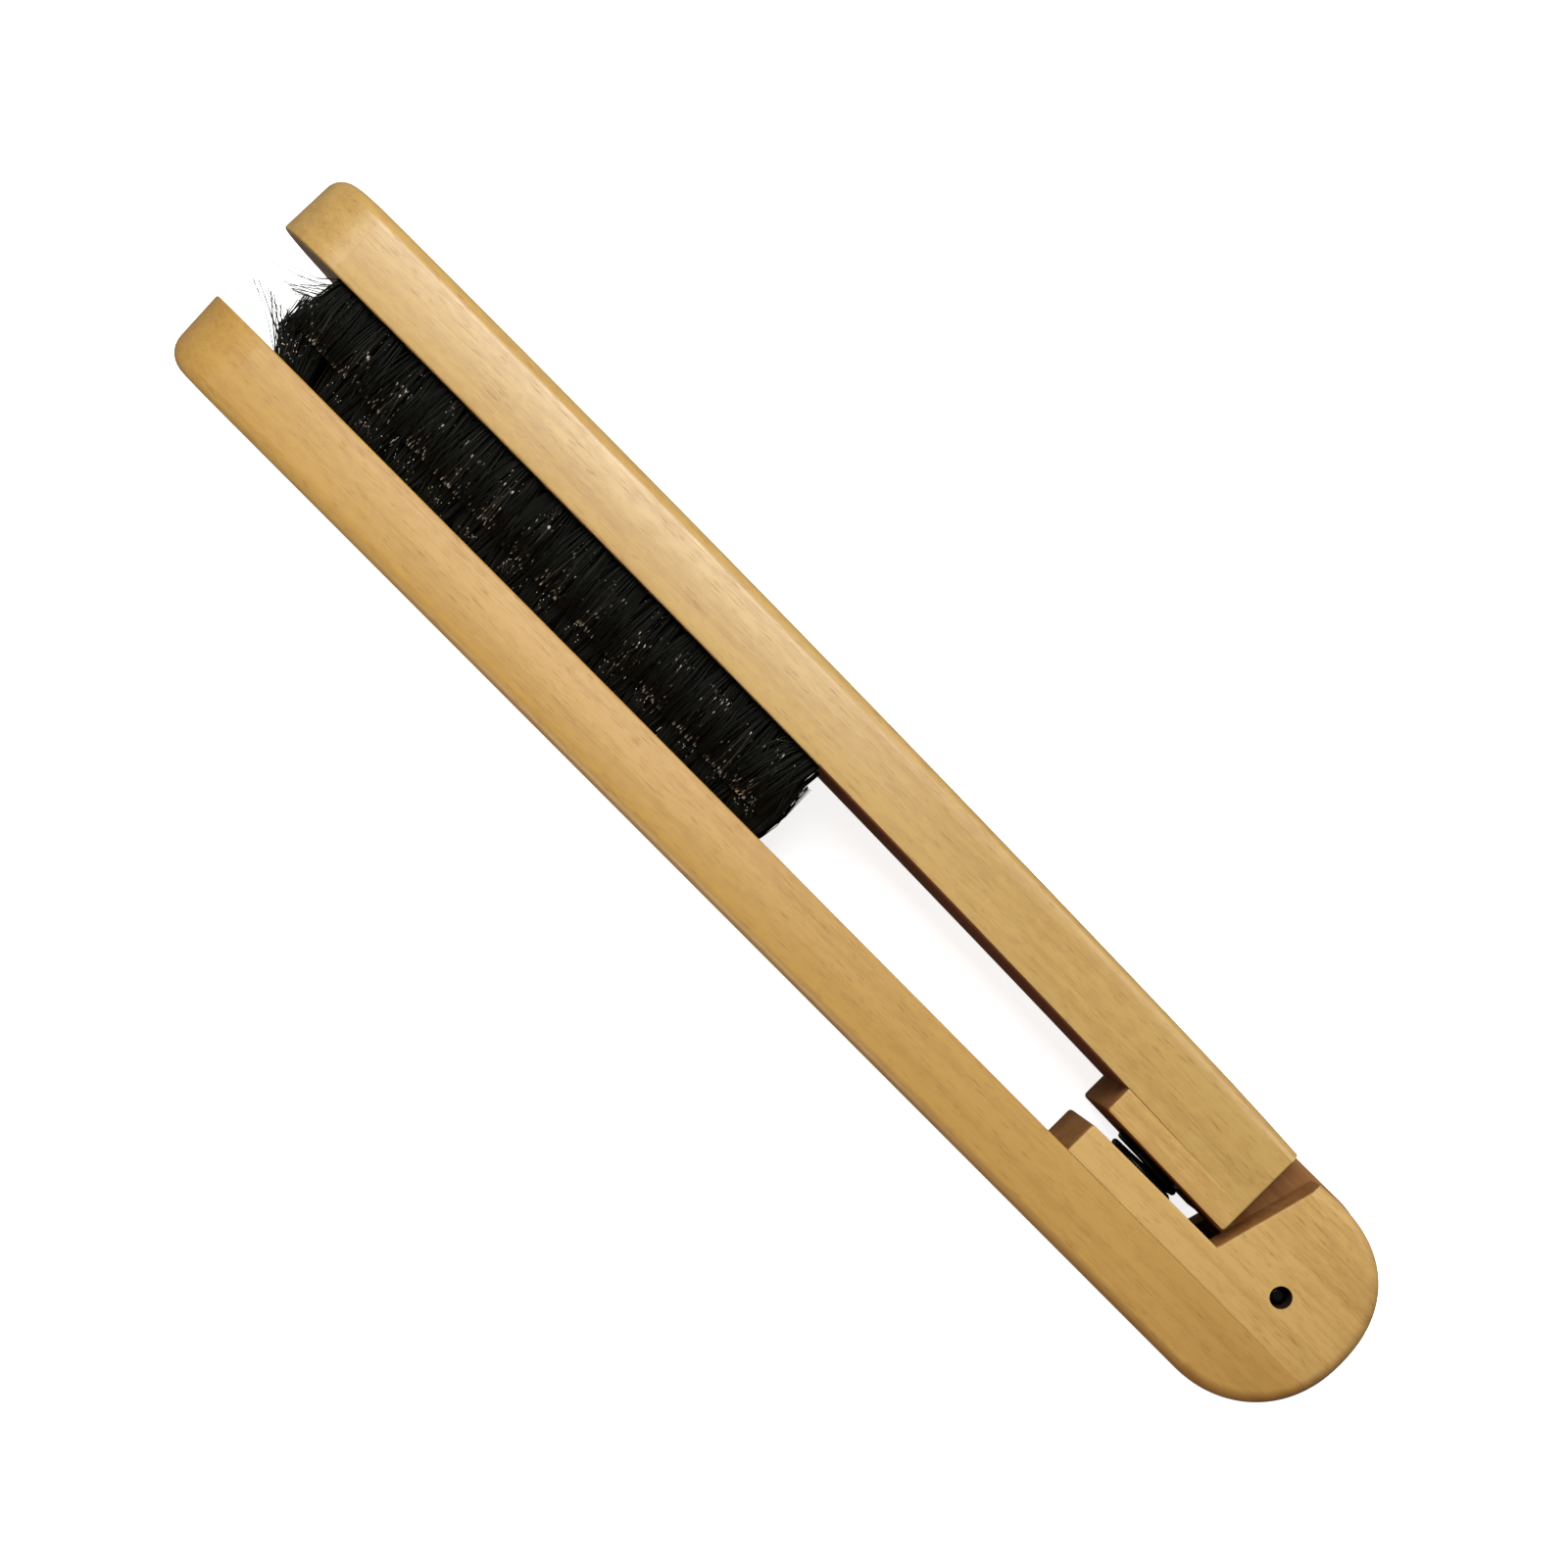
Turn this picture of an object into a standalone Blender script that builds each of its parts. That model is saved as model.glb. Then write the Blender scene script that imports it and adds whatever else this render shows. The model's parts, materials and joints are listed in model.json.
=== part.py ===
"""Hair straightening comb: two wooden arms on a pin, with bristles on both inner faces and a coil spring.

The comb lies on its side. +X runs from the tips to the hinge, +Y runs across the arms and +Z is the hinge's
axis. The lower arm, at -Y, carries the fork that holds the pin. The upper arm, at +Y, turns on the pin.
"""

import math

import bmesh
import bpy
from mathutils import Matrix

# Overall sizes
LENGTH = 0.220
DEPTH = 0.028
ARM_THICKNESS = 0.0111
TIP_X = -LENGTH / 2
END_X = LENGTH / 2
GAP = 0.0003

# Inner face of the lower arm, a straight line, and its flat outer face
LOWER_FACE_Y = -0.00668
LOWER_FACE_SLOPE = -0.00277
LOWER_OUTER_Y = -0.01803

# Inner face of the upper arm, flat to BOW_X and then bowed towards the lower arm
UPPER_FACE_Y = 0.00693
BOW_X = -0.0944
BOW = 0.0868
TAPER_X = 0.066
TAPER = 0.0003

# Rounded edges and tips
EDGE_RADIUS = 0.0020
LOWER_TIP_RADIUS = 0.0045
UPPER_TIP_RADIUS = 0.0032
TIP_LEAN = 0.0005

# Round end of the fork: centre, half-width to the right, half-heights, and how square each quarter is
END_CENTRE_X = 0.09397
END_CENTRE_Y = -0.00186
END_TOP_Y = 0.01438
TOP_SQUARENESS = 2.30
BOTTOM_SQUARENESS = 2.10

# Glued blocks, the fork and the tongue
STEP_X = 0.0619
CHEEK_END_X = 0.0851
BLOCK_FACE_Y = -0.00213
FORK_CORNER_X = 0.0860
FORK_TOP_X = 0.0903
FORK_TOP_Y = 0.01418
SPRING_BLOCK_Y = (0.00059, 0.00005)
CHEEK_THICKNESS = 0.0070
TONGUE_TOP_Y = 0.0150
TONGUE_CENTRE_X = 0.0952
TONGUE_END_X = 0.1096
TONGUE_SQUARENESS = 2.0
TONGUE_SHOULDER_X = 0.0885
TONGUE_SHOULDER_Y = 0.0

# Pin and its barrel
PIN_X = 0.09716
PIN_Y = -0.00077
PIN_RADIUS = 0.0012
PIN_HOLE_RADIUS = 0.0015
PIN_RECESS = 0.0020
BARREL_RADIUS = 0.0059
SLOT_CLEARANCE = 0.0006

# How far the upper arm turns: out to its stop on the fork, and in until the bristle tips are seated
OPEN_ANGLE = math.radians(22)
HEEL_MARGIN = math.radians(2)
TIP_CLEAR_ANGLE = math.radians(1.35)

# Spring and its two pockets
SPRING_X = 0.0735
SPRING_RADIUS = 0.0054
WIRE_RADIUS = 0.0005
SPRING_TURNS = 7
END_TURN_PITCH = 0.00112
POCKET_RADIUS = 0.0065
POCKET_FLOOR_Y = -0.0066
POCKET_ROOF_Y = 0.0039

# Bristle tufts, set in rows along the arms
TUFT_COLUMNS = 14
FIRST_TUFT_X = -0.0927
TUFT_PITCH = 0.00691
UPPER_ROW_Z = (0.0041, 0.0107, 0.0173, 0.0239)
LOWER_ROW_Z = (0.0074, 0.0140, 0.0206)
ROW_THICKNESS = 0.0019
ROOT_WIDTH = 0.0019
ROOT_DEPTH = 0.0037
ROOT_HOLE_RADIUS = 0.00172
ROOT_HOLE_DEPTH = 0.0040
FLARE_START = 0.0006
FLARE_END = 0.0026
VALLEY_DEPTH = 0.0009
CREST_SHARE = 0.30

# How finely round shapes are divided: steps in each arc, sides of each cylinder, and turns of a search
LEVEL_ANGLES = (0, 13, 26, 40, 54, 71)
TIP_CORNER_STEPS = 6
FORK_BOTTOM_STEPS = 9
FORK_SIDE_STEPS = 4
FORK_TOP_STEPS = 10
BARREL_STEPS = 8
TONGUE_SIDE_STEPS = 5
TONGUE_TOP_STEPS = 7
BOW_STEPS = 8
GLUE_STEPS = 2
PIN_SIDES = 16
POCKET_SIDES = 20
ROOT_HOLE_SIDES = 8
WIRE_STEPS_PER_TURN = 16
SEARCH_TURNS = 40
FLAT_ANGLE = math.radians(0.02)

# How far a cutter reaches past what it cuts
CUT_REACH = 0.030

# Colour, roughness and metallic value of each material
FINISHES = {
    "arm_wood": ((0.62, 0.42, 0.21), 0.50, 0.0),
    "block_wood": ((0.66, 0.47, 0.26), 0.52, 0.0),
    "bristle": ((0.015, 0.012, 0.010), 0.45, 0.0),
    "blackened_steel": ((0.03, 0.03, 0.032), 0.35, 1.0),
}


def material(name):
    """The material of this name, made once."""
    if name in bpy.data.materials:
        return bpy.data.materials[name]
    colour, roughness, metallic = FINISHES[name]
    made = bpy.data.materials.new(name)
    made.use_nodes = True
    shader = made.node_tree.nodes["Principled BSDF"]
    shader.inputs["Base Color"].default_value = (*colour, 1.0)
    shader.inputs["Roughness"].default_value = roughness
    shader.inputs["Metallic"].default_value = metallic
    return made


def add_object(name, data, finish=None):
    """Link an object that holds this mesh or curve."""
    made = bpy.data.objects.new(name, data)
    bpy.context.scene.collection.objects.link(made)
    if finish:
        data.materials.append(material(finish))
    return made


def signed_area(points):
    """Twice the area inside a closed outline, positive when its points run anticlockwise."""
    return sum(a[0] * b[1] - b[0] * a[1] for a, b in zip(points, points[1:] + points[:1]))


def stack(name, rings, finish=None):
    """A closed solid through rings of points, all of one length and anticlockwise seen from +Z."""
    bm = bmesh.new()
    rows = [[bm.verts.new(point) for point in ring] for ring in rings]
    for low, high in zip(rows, rows[1:]):
        for i in range(len(low)):
            j = (i + 1) % len(low)
            bm.faces.new((low[i], low[j], high[j], high[i]))
    bm.faces.new(list(reversed(rows[0])))
    bm.faces.new(rows[-1])
    bmesh.ops.dissolve_limit(bm, angle_limit=FLAT_ANGLE, verts=bm.verts, edges=bm.edges)
    mesh = bpy.data.meshes.new(name)
    bm.to_mesh(mesh)
    bm.free()
    return add_object(name, mesh, finish)


def prism(name, outline, low, high, finish=None):
    """A flat outline in X and Y, extruded from one height to another."""
    points = outline if signed_area(outline) > 0 else list(reversed(outline))
    return stack(name, [[(x, y, z) for x, y in points] for z in (low, high)], finish)


def cylinders(name, centres, radius, sides, length, direction):
    """A mesh of cylinders along Y or Z, placed by their middles."""
    bm = bmesh.new()
    turn = {"Y": Matrix.Rotation(math.radians(-90), 4, "X"), "Z": Matrix.Identity(4)}[direction]
    for centre in centres:
        bmesh.ops.create_cone(
            bm, cap_ends=True, segments=sides, radius1=radius, radius2=radius, depth=length,
            matrix=Matrix.Translation(centre) @ turn,
        )
    mesh = bpy.data.meshes.new(name)
    bm.to_mesh(mesh)
    bm.free()
    return mesh


def cut(target, cutter):
    """Take the cutter's shape out of the target."""
    cutter.hide_render = True
    cutter.display_type = "WIRE"
    modifier = target.modifiers.new(cutter.name, "BOOLEAN")
    modifier.operation = "DIFFERENCE"
    modifier.solver = "EXACT"
    modifier.object = cutter


def lower_face(x):
    """Height across the comb of the lower arm's inner face."""
    return LOWER_FACE_Y + LOWER_FACE_SLOPE * (x - TIP_X)


def upper_face(x):
    """Height across the comb of the upper arm's inner face."""
    return UPPER_FACE_Y - BOW * max(0.0, x - BOW_X) ** 2


def upper_outer(x):
    """Height across the comb of the upper arm's outer face."""
    share = max(0.0, x - TAPER_X) / (CHEEK_END_X - TAPER_X)
    return upper_face(x) + ARM_THICKNESS - TAPER * share**2


def depth_levels():
    """Heights from one side face to the other, closer together where the tips and edges are round."""
    angles = [*LEVEL_ANGLES, 90, *(180 - a for a in reversed(LEVEL_ANGLES))]
    return [DEPTH / 2 * (1 - math.cos(math.radians(a))) for a in angles]


def tip_at(z):
    """Where an arm starts at this height: its tip is a half circle seen from its inner face."""
    half = DEPTH / 2
    return TIP_X + half - math.sqrt(max(0.0, half**2 - (z - half) ** 2))


def edge_inset(z):
    """How far the outer faces stand back at this height, where their long edges are rounded."""
    depth = min(z, DEPTH - z)
    if depth >= EDGE_RADIUS:
        return 0.0
    return EDGE_RADIUS - math.sqrt(EDGE_RADIUS**2 - (EDGE_RADIUS - depth) ** 2)


def squared_quarter(centre, half_width, half_height, squareness, inset, angle):
    """A point on a rounded quarter at this angle from +X, moved inwards by inset."""
    c, s = max(0.0, math.cos(angle)), math.sin(angle)
    x = half_width * c ** (2 / squareness)
    y = half_height * math.copysign(abs(s) ** (2 / squareness), s)
    nx = x ** (squareness - 1) / half_width**squareness
    ny = math.copysign(abs(y) ** (squareness - 1) / abs(half_height) ** squareness, y)
    size = math.hypot(nx, ny)
    return centre[0] + x - inset * nx / size, centre[1] + y - inset * ny / size


def angle_at_height(point_at, height, low, high):
    """The angle between low and high at which a rising curve crosses this height."""
    for _ in range(SEARCH_TURNS):
        middle = (low + high) / 2
        low, high = (middle, high) if point_at(middle)[1] < height else (low, middle)
    return (low + high) / 2


def fork_end(angle, inset):
    """A point on the fork's round end at this angle from +X."""
    top = angle > 0
    return squared_quarter(
        (END_CENTRE_X, END_CENTRE_Y),
        END_X - END_CENTRE_X,
        END_TOP_Y - END_CENTRE_Y if top else END_CENTRE_Y - LOWER_OUTER_Y,
        TOP_SQUARENESS if top else BOTTOM_SQUARENESS,
        inset,
        angle,
    )


def tongue_end(angle):
    """A point on the tongue's round end at this angle from +X."""
    centre = (TONGUE_CENTRE_X, PIN_Y)
    return squared_quarter(
        centre, TONGUE_END_X - TONGUE_CENTRE_X, TONGUE_TOP_Y - PIN_Y, TONGUE_SQUARENESS, 0.0, angle
    )


def spread(low, high, steps):
    """Evenly spaced values from low to high, both included."""
    return [low + (high - low) * i / steps for i in range(steps + 1)]


def tip_corner(tip, outer, radius, towards):
    """The end wall's outer corner as an arc; towards is +1 where the outer face is at +Y, else -1."""
    centre = (tip + TIP_LEAN + radius, outer - towards * radius)
    return [
        (centre[0] - radius * math.cos(a), centre[1] + towards * radius * math.sin(a))
        for a in spread(0, math.pi / 2, TIP_CORNER_STEPS)
    ]


def lower_arm_outline(z):
    """Outline of the lower arm at this height, from its outer tip corner anticlockwise."""
    inset, tip = edge_inset(z), tip_at(z)
    outer = LOWER_OUTER_Y + inset
    glue = lower_face(END_X)
    last = angle_at_height(lambda a: fork_end(a, inset), glue, -math.pi / 2, 0)
    points = tip_corner(tip, outer, LOWER_TIP_RADIUS, -1)
    points += [fork_end(a, inset) for a in spread(-math.pi / 2, last, FORK_BOTTOM_STEPS)]
    corner = points.pop()[0]
    points += [(corner, lower_face(corner)), (tip, lower_face(tip))]
    return points


def make_lower_arm():
    """The long lower strip, flat inside, with the holes its bristle tufts are set in."""
    rings = [[(x, y, z) for x, y in lower_arm_outline(z)] for z in depth_levels()]
    arm = stack("lower_arm", rings, "arm_wood")
    cut(arm, root_holes("lower_root_holes", LOWER_ROW_Z, lower_face))
    return arm


def fork_outline(z):
    """Outline of the glued block with the fork's two cheeks at this height, from its step anticlockwise."""
    inset = edge_inset(z)
    foot = lower_face(END_X) + GAP
    first = angle_at_height(lambda a: fork_end(a, inset), foot, -math.pi / 2, 0)
    points = [(STEP_X, lower_face(STEP_X) + GAP)]
    points += [fork_end(a, inset) for a in spread(first, 0, FORK_SIDE_STEPS)]
    points += [fork_end(a, inset) for a in spread(0, math.pi / 2, FORK_TOP_STEPS)[1:]]
    slant = (FORK_TOP_X - FORK_CORNER_X) / (FORK_TOP_Y - BLOCK_FACE_Y)
    points.append((FORK_TOP_X - inset * slant, FORK_TOP_Y - inset))
    points += [(FORK_CORNER_X, BLOCK_FACE_Y), (STEP_X, BLOCK_FACE_Y)]
    return points


def make_fork():
    """The block glued to the lower arm: spring seat, two cheeks with a slot between them, the pin's hole."""
    rings = [[(x, y, z) for x, y in fork_outline(z)] for z in depth_levels()]
    fork = stack("fork_block", rings, "block_wood")
    direction = tongue_shoulder_direction()
    start_x = TONGUE_SHOULDER_X + SLOT_CLEARANCE * direction[1]
    start_y = TONGUE_SHOULDER_Y - SLOT_CLEARANCE * direction[0]
    floor = lower_face(END_X) - GAP
    slant = direction[0] / direction[1]
    slot = [
        (CHEEK_END_X, CUT_REACH),
        (CHEEK_END_X, BLOCK_FACE_Y),
        (start_x + slant * (BLOCK_FACE_Y - start_y), BLOCK_FACE_Y),
        (start_x + slant * (floor - start_y), floor),
        (END_X + GAP, floor),
        (END_X + GAP, CUT_REACH),
    ]
    cut(fork, prism("fork_slot", slot, CHEEK_THICKNESS, DEPTH - CHEEK_THICKNESS))
    cut(fork, add_object("fork_pin_hole", pin_hole_mesh()))
    cut(fork, spring_pocket("lower_pocket", POCKET_FLOOR_Y, CUT_REACH))
    return fork


def pin_hole_mesh():
    """A cylinder through the whole comb where the pin goes."""
    centre = (PIN_X, PIN_Y, DEPTH / 2)
    return cylinders("pin_hole", [centre], PIN_HOLE_RADIUS, PIN_SIDES, DEPTH + CUT_REACH, "Z")


def spring_pocket(name, start, end):
    """A cylinder across the comb from one height to another, where the spring sits."""
    centre = (SPRING_X, (start + end) / 2, DEPTH / 2)
    return add_object(name, cylinders(name, [centre], POCKET_RADIUS, POCKET_SIDES, end - start, "Y"))


def tongue_shoulder_direction():
    """Direction of the straight edge from the tongue's shoulder down to the barrel, which it touches."""
    dx, dy = PIN_X - TONGUE_SHOULDER_X, PIN_Y - TONGUE_SHOULDER_Y
    distance = math.hypot(dx, dy)
    angle = math.atan2(dy, dx) - math.asin(BARREL_RADIUS / distance)
    return math.cos(angle), math.sin(angle)


def spring_block_outline():
    """Outline of the block under the upper arm, with the lower part of the tongue round the pin."""
    direction = tongue_shoulder_direction()
    heel = OPEN_ANGLE + HEEL_MARGIN
    first = math.atan2(-direction[0], direction[1])
    last = heel - math.pi / 2
    arc = [
        (PIN_X + BARREL_RADIUS * math.cos(a), PIN_Y + BARREL_RADIUS * math.sin(a))
        for a in spread(first, last, BARREL_STEPS)
    ]
    glue = upper_face(CHEEK_END_X) - GAP
    run = tongue_end(0)[0] - PIN_X - BARREL_RADIUS * math.cos(last)
    heel_end = arc[-1][1] + run * math.tan(heel)
    start = angle_at_height(tongue_end, heel_end, -math.pi / 2, math.pi / 2)
    top = angle_at_height(tongue_end, glue, 0, math.pi / 2)
    points = [(STEP_X, SPRING_BLOCK_Y[0]), (CHEEK_END_X, SPRING_BLOCK_Y[1])]
    points += [(TONGUE_SHOULDER_X, TONGUE_SHOULDER_Y), *arc]
    points += [tongue_end(a) for a in spread(start, top, TONGUE_SIDE_STEPS)]
    points += [(x, upper_face(x) - GAP) for x in reversed(spread(STEP_X, CHEEK_END_X, GLUE_STEPS))]
    return points


def upper_arm_outline(z):
    """Outline of the upper arm and the tongue's upper part at this height, from its inner tip corner."""
    inset, tip = edge_inset(z), tip_at(z)
    stations = spread(BOW_X, STEP_X, BOW_STEPS) + [CHEEK_END_X]
    glue = upper_face(CHEEK_END_X)
    first = angle_at_height(tongue_end, glue, 0, math.pi / 2)
    points = [(tip, upper_face(tip))]
    points += [(x, upper_face(x)) for x in stations]
    points += [tongue_end(a) for a in spread(first, math.pi / 2, TONGUE_TOP_STEPS)]
    points += [(x, upper_outer(x) - inset) for x in reversed(stations[1:])]
    points += list(reversed(tip_corner(tip, UPPER_FACE_Y + ARM_THICKNESS - inset, UPPER_TIP_RADIUS, 1)))
    return points


def cheek_boxes(name):
    """The two side pieces that are cut away beside the tongue."""
    side = CHEEK_THICKNESS + GAP
    bm = bmesh.new()
    for start, end in ((-CUT_REACH, side), (DEPTH - side, DEPTH + CUT_REACH)):
        size = Matrix.Diagonal((CUT_REACH, 2 * CUT_REACH, end - start, 1))
        place = Matrix.Translation((CHEEK_END_X + CUT_REACH / 2, 0, (start + end) / 2))
        bmesh.ops.create_cube(bm, size=1.0, matrix=place @ size)
    mesh = bpy.data.meshes.new(name)
    bm.to_mesh(mesh)
    bm.free()
    return add_object(name, mesh)


def make_upper_arm(cheeks):
    """The long upper strip with the tongue's upper part, and the holes its bristle tufts are set in."""
    rings = [[(x, y, z) for x, y in upper_arm_outline(z)] for z in depth_levels()]
    arm = stack("upper_arm", rings, "arm_wood")
    cut(arm, cheeks)
    cut(arm, root_holes("upper_root_holes", UPPER_ROW_Z, upper_face))
    return arm


def make_spring_block(cheeks):
    """The block glued under the upper arm: spring seat, and the tongue's lower part with the pin's hole."""
    block = prism("spring_block", spring_block_outline(), 0.0, DEPTH, "block_wood")
    cut(block, cheeks)
    cut(block, add_object("tongue_pin_hole", pin_hole_mesh()))
    cut(block, spring_pocket("upper_pocket", -CUT_REACH, POCKET_ROOF_Y))
    return block


def make_pin():
    """The steel pin, a little short of both side faces."""
    centre = (PIN_X, PIN_Y, DEPTH / 2)
    mesh = cylinders("hinge_pin", [centre], PIN_RADIUS, PIN_SIDES, DEPTH - 2 * PIN_RECESS, "Z")
    return add_object("hinge_pin", mesh, "blackened_steel")


def make_spring():
    """The coil spring between the two pockets, its first and last turns closed up."""
    start = POCKET_FLOOR_Y + GAP + WIRE_RADIUS
    rise = POCKET_ROOF_Y - GAP - WIRE_RADIUS - start
    inner_pitch = (rise - 2 * END_TURN_PITCH) / (SPRING_TURNS - 2)

    def height(turn):
        closed = min(turn, 1) + max(0.0, turn - (SPRING_TURNS - 1))
        return start + closed * END_TURN_PITCH + (turn - closed) * inner_pitch

    curve = bpy.data.curves.new("spring", "CURVE")
    curve.dimensions = "3D"
    curve.bevel_depth = WIRE_RADIUS
    curve.bevel_resolution = 1
    curve.use_fill_caps = True
    spline = curve.splines.new("POLY")
    spline.points.add(SPRING_TURNS * WIRE_STEPS_PER_TURN)
    for i, point in enumerate(spline.points):
        turn = i / WIRE_STEPS_PER_TURN
        angle = 2 * math.pi * turn
        x = SPRING_X + SPRING_RADIUS * math.cos(angle)
        point.co = (x, height(turn), DEPTH / 2 + SPRING_RADIUS * math.sin(angle), 1)
    return add_object("spring", curve, "blackened_steel")


def tuft_rows(heights):
    """Each row's height, and where its tufts stand along the arm.

    Every other row, counted from the top side face, is staggered: one tuft fewer, half a pitch in.
    """
    rows = []
    for i, z in enumerate(heights, 1):
        staggered = (len(heights) - i) % 2
        start = FIRST_TUFT_X + staggered * TUFT_PITCH / 2
        rows.append((z, [start + j * TUFT_PITCH for j in range(TUFT_COLUMNS - staggered)]))
    return rows


def root_holes(name, heights, face):
    """Drilled holes for the tufts of several rows."""
    centres = [(x, face(x), z) for z, columns in tuft_rows(heights) for x in columns]
    mesh = cylinders(name, centres, ROOT_HOLE_RADIUS, ROOT_HOLE_SIDES, 2 * ROOT_HOLE_DEPTH, "Y")
    return add_object(name, mesh)


def make_bristle_row(name, z, columns, face, tip, out):
    """One row of tufts that merge where they fan out; out is +1 where they point to +Y, else -1."""
    half_root, half_pitch = ROOT_WIDTH / 2, TUFT_PITCH / 2
    roots, tips = [], []
    for x in columns:
        deep = face(x) - out * ROOT_DEPTH
        start = face(x) + out * FLARE_START
        roots += [(x - half_root, start), (x - half_root, deep)]
        roots += [(x + half_root, deep), (x + half_root, start)]
        crest = CREST_SHARE * TUFT_PITCH
        tips += [(x - crest, tip(x - crest)), (x + crest, tip(x + crest))]
        if x != columns[-1]:
            middle = x + half_pitch
            roots.append((middle, face(middle) + out * FLARE_END))
            tips.append((middle, tip(middle) - out * VALLEY_DEPTH))
    ends = (columns[0] - half_pitch, columns[-1] + half_pitch)
    first, last = [(x, tip(x) - out * VALLEY_DEPTH) for x in ends]
    outline = roots + [last] + list(reversed(tips)) + [first]
    low = z - ROW_THICKNESS / 2
    return prism(name, outline, low, low + ROW_THICKNESS, "bristle")


def upper_tip_line(x):
    """Height of the upper arm's bristle tips, which all reach the lower arm as the comb closes."""
    return lower_face(x) + (PIN_X - x) * math.tan(TIP_CLEAR_ANGLE)


def lower_tip_line(x):
    """Height of the lower arm's bristle tips."""
    return upper_face(x) - (PIN_X - x) * math.tan(TIP_CLEAR_ANGLE)


def main():
    """Build the comb, with the pieces that move parented to an empty on the pin."""
    for old in list(bpy.data.objects):
        bpy.data.objects.remove(old)
    make_lower_arm()
    make_fork()
    make_pin()
    make_spring()
    for i, (z, columns) in enumerate(tuft_rows(LOWER_ROW_Z), 1):
        make_bristle_row(f"lower_bristles_{i}", z, columns, lower_face, lower_tip_line, 1)
    cheeks = cheek_boxes("beside_tongue")
    moving = [make_upper_arm(cheeks), make_spring_block(cheeks)]
    for i, (z, columns) in enumerate(tuft_rows(UPPER_ROW_Z), 1):
        name = f"upper_bristles_{i}"
        moving.append(make_bristle_row(name, z, columns, upper_face, upper_tip_line, -1))
    hinge = add_object("hinge", None)
    hinge.location = (PIN_X, PIN_Y, DEPTH / 2)
    bpy.context.view_layer.update()
    for piece in moving:
        piece.parent = hinge
        piece.matrix_parent_inverse = hinge.matrix_world.inverted()


main()
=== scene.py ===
"""Hair straightening comb: two wooden arms on a forked pin hinge, with bristles and a coil spring.

The comb lies on its side. +X runs from the tips to the hinge, +Y from the lower arm to the upper arm, and +Z is
up, along the hinge's axis. All sizes are in metres.
"""

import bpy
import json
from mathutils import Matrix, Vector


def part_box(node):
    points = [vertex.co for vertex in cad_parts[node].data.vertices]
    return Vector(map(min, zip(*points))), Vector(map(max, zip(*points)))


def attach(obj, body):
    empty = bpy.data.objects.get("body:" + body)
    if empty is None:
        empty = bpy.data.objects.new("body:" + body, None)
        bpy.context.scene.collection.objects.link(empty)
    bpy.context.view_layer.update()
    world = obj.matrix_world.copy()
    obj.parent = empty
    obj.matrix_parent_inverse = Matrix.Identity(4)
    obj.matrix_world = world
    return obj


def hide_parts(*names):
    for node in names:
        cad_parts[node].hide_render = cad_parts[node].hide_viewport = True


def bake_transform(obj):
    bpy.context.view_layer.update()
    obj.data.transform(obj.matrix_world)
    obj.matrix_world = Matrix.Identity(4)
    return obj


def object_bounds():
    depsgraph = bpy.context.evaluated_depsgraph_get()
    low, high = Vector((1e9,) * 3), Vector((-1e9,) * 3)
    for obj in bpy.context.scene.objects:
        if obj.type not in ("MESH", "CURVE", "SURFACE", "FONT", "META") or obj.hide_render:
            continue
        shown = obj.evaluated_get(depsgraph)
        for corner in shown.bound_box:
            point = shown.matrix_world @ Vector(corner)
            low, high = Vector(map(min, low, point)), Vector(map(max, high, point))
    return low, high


bl_info = {
    "name": "Hair Straightening Comb",
    "version": (1, 0, 0),
    "blender": (4, 5, 0),
    "location": "3D View > Sidebar > Comb",
    "description": "Builds a wooden hair straightening comb with bristle tufts, a pin hinge and a coil spring",
    "category": "Add Mesh",
}

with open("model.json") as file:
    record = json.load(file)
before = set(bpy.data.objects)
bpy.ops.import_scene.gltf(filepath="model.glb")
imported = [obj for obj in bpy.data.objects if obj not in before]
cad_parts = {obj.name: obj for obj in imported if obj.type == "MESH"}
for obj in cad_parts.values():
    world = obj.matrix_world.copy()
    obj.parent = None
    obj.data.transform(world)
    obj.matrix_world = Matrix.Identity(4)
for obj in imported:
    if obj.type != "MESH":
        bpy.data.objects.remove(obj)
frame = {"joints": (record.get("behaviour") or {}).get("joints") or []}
cad_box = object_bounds()

import json
from math import acos, asin, atan2, copysign, cos, hypot, inf, pi, radians, sin, sqrt, tan

import bmesh
import bpy
from bpy.props import FloatProperty, FloatVectorProperty, IntProperty, PointerProperty
from bpy.types import Operator, PropertyGroup
from mathutils import Matrix, Vector

# The comb's box, its hinge and its rows of tufts, from the frame
TIP_X, END_X = cad_box[0].x, cad_box[1].x
DEPTH = cad_box[1].z
HALF = DEPTH / 2
PIN_X, PIN_Y, _ = frame["joints"][0]["pos_m"]
LOWER_OUTER_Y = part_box("lower_arm")[0].y
STEP_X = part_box("fork_block")[0].x
SPRING_LOW, SPRING_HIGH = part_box("spring")
UPPER_ROWS = [f"upper_bristles_{i}" for i in (1, 2, 3, 4)]
LOWER_ROWS = [f"lower_bristles_{i}" for i in (1, 2, 3)]

# Inner faces: the lower one is straight, the upper one is flat up to BOW_X and then bows inwards
LOWER_FACE_Y = -0.00668
LOWER_FACE_SLOPE = -0.00277
UPPER_FACE_Y = 0.00693
BOW_X = -0.0944
BOW = 0.0868
ARM_THICKNESS = 0.0111
TAPER_X = 0.066
TAPER = 0.0003

# Round end of the fork: centre, top, and how square its upper and lower quarters are
END_CENTRE_X = 0.09397
END_CENTRE_Y = -0.00186
END_TOP_Y = 0.01438
TOP_SQUARENESS = 2.30
BOTTOM_SQUARENESS = 2.10

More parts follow.
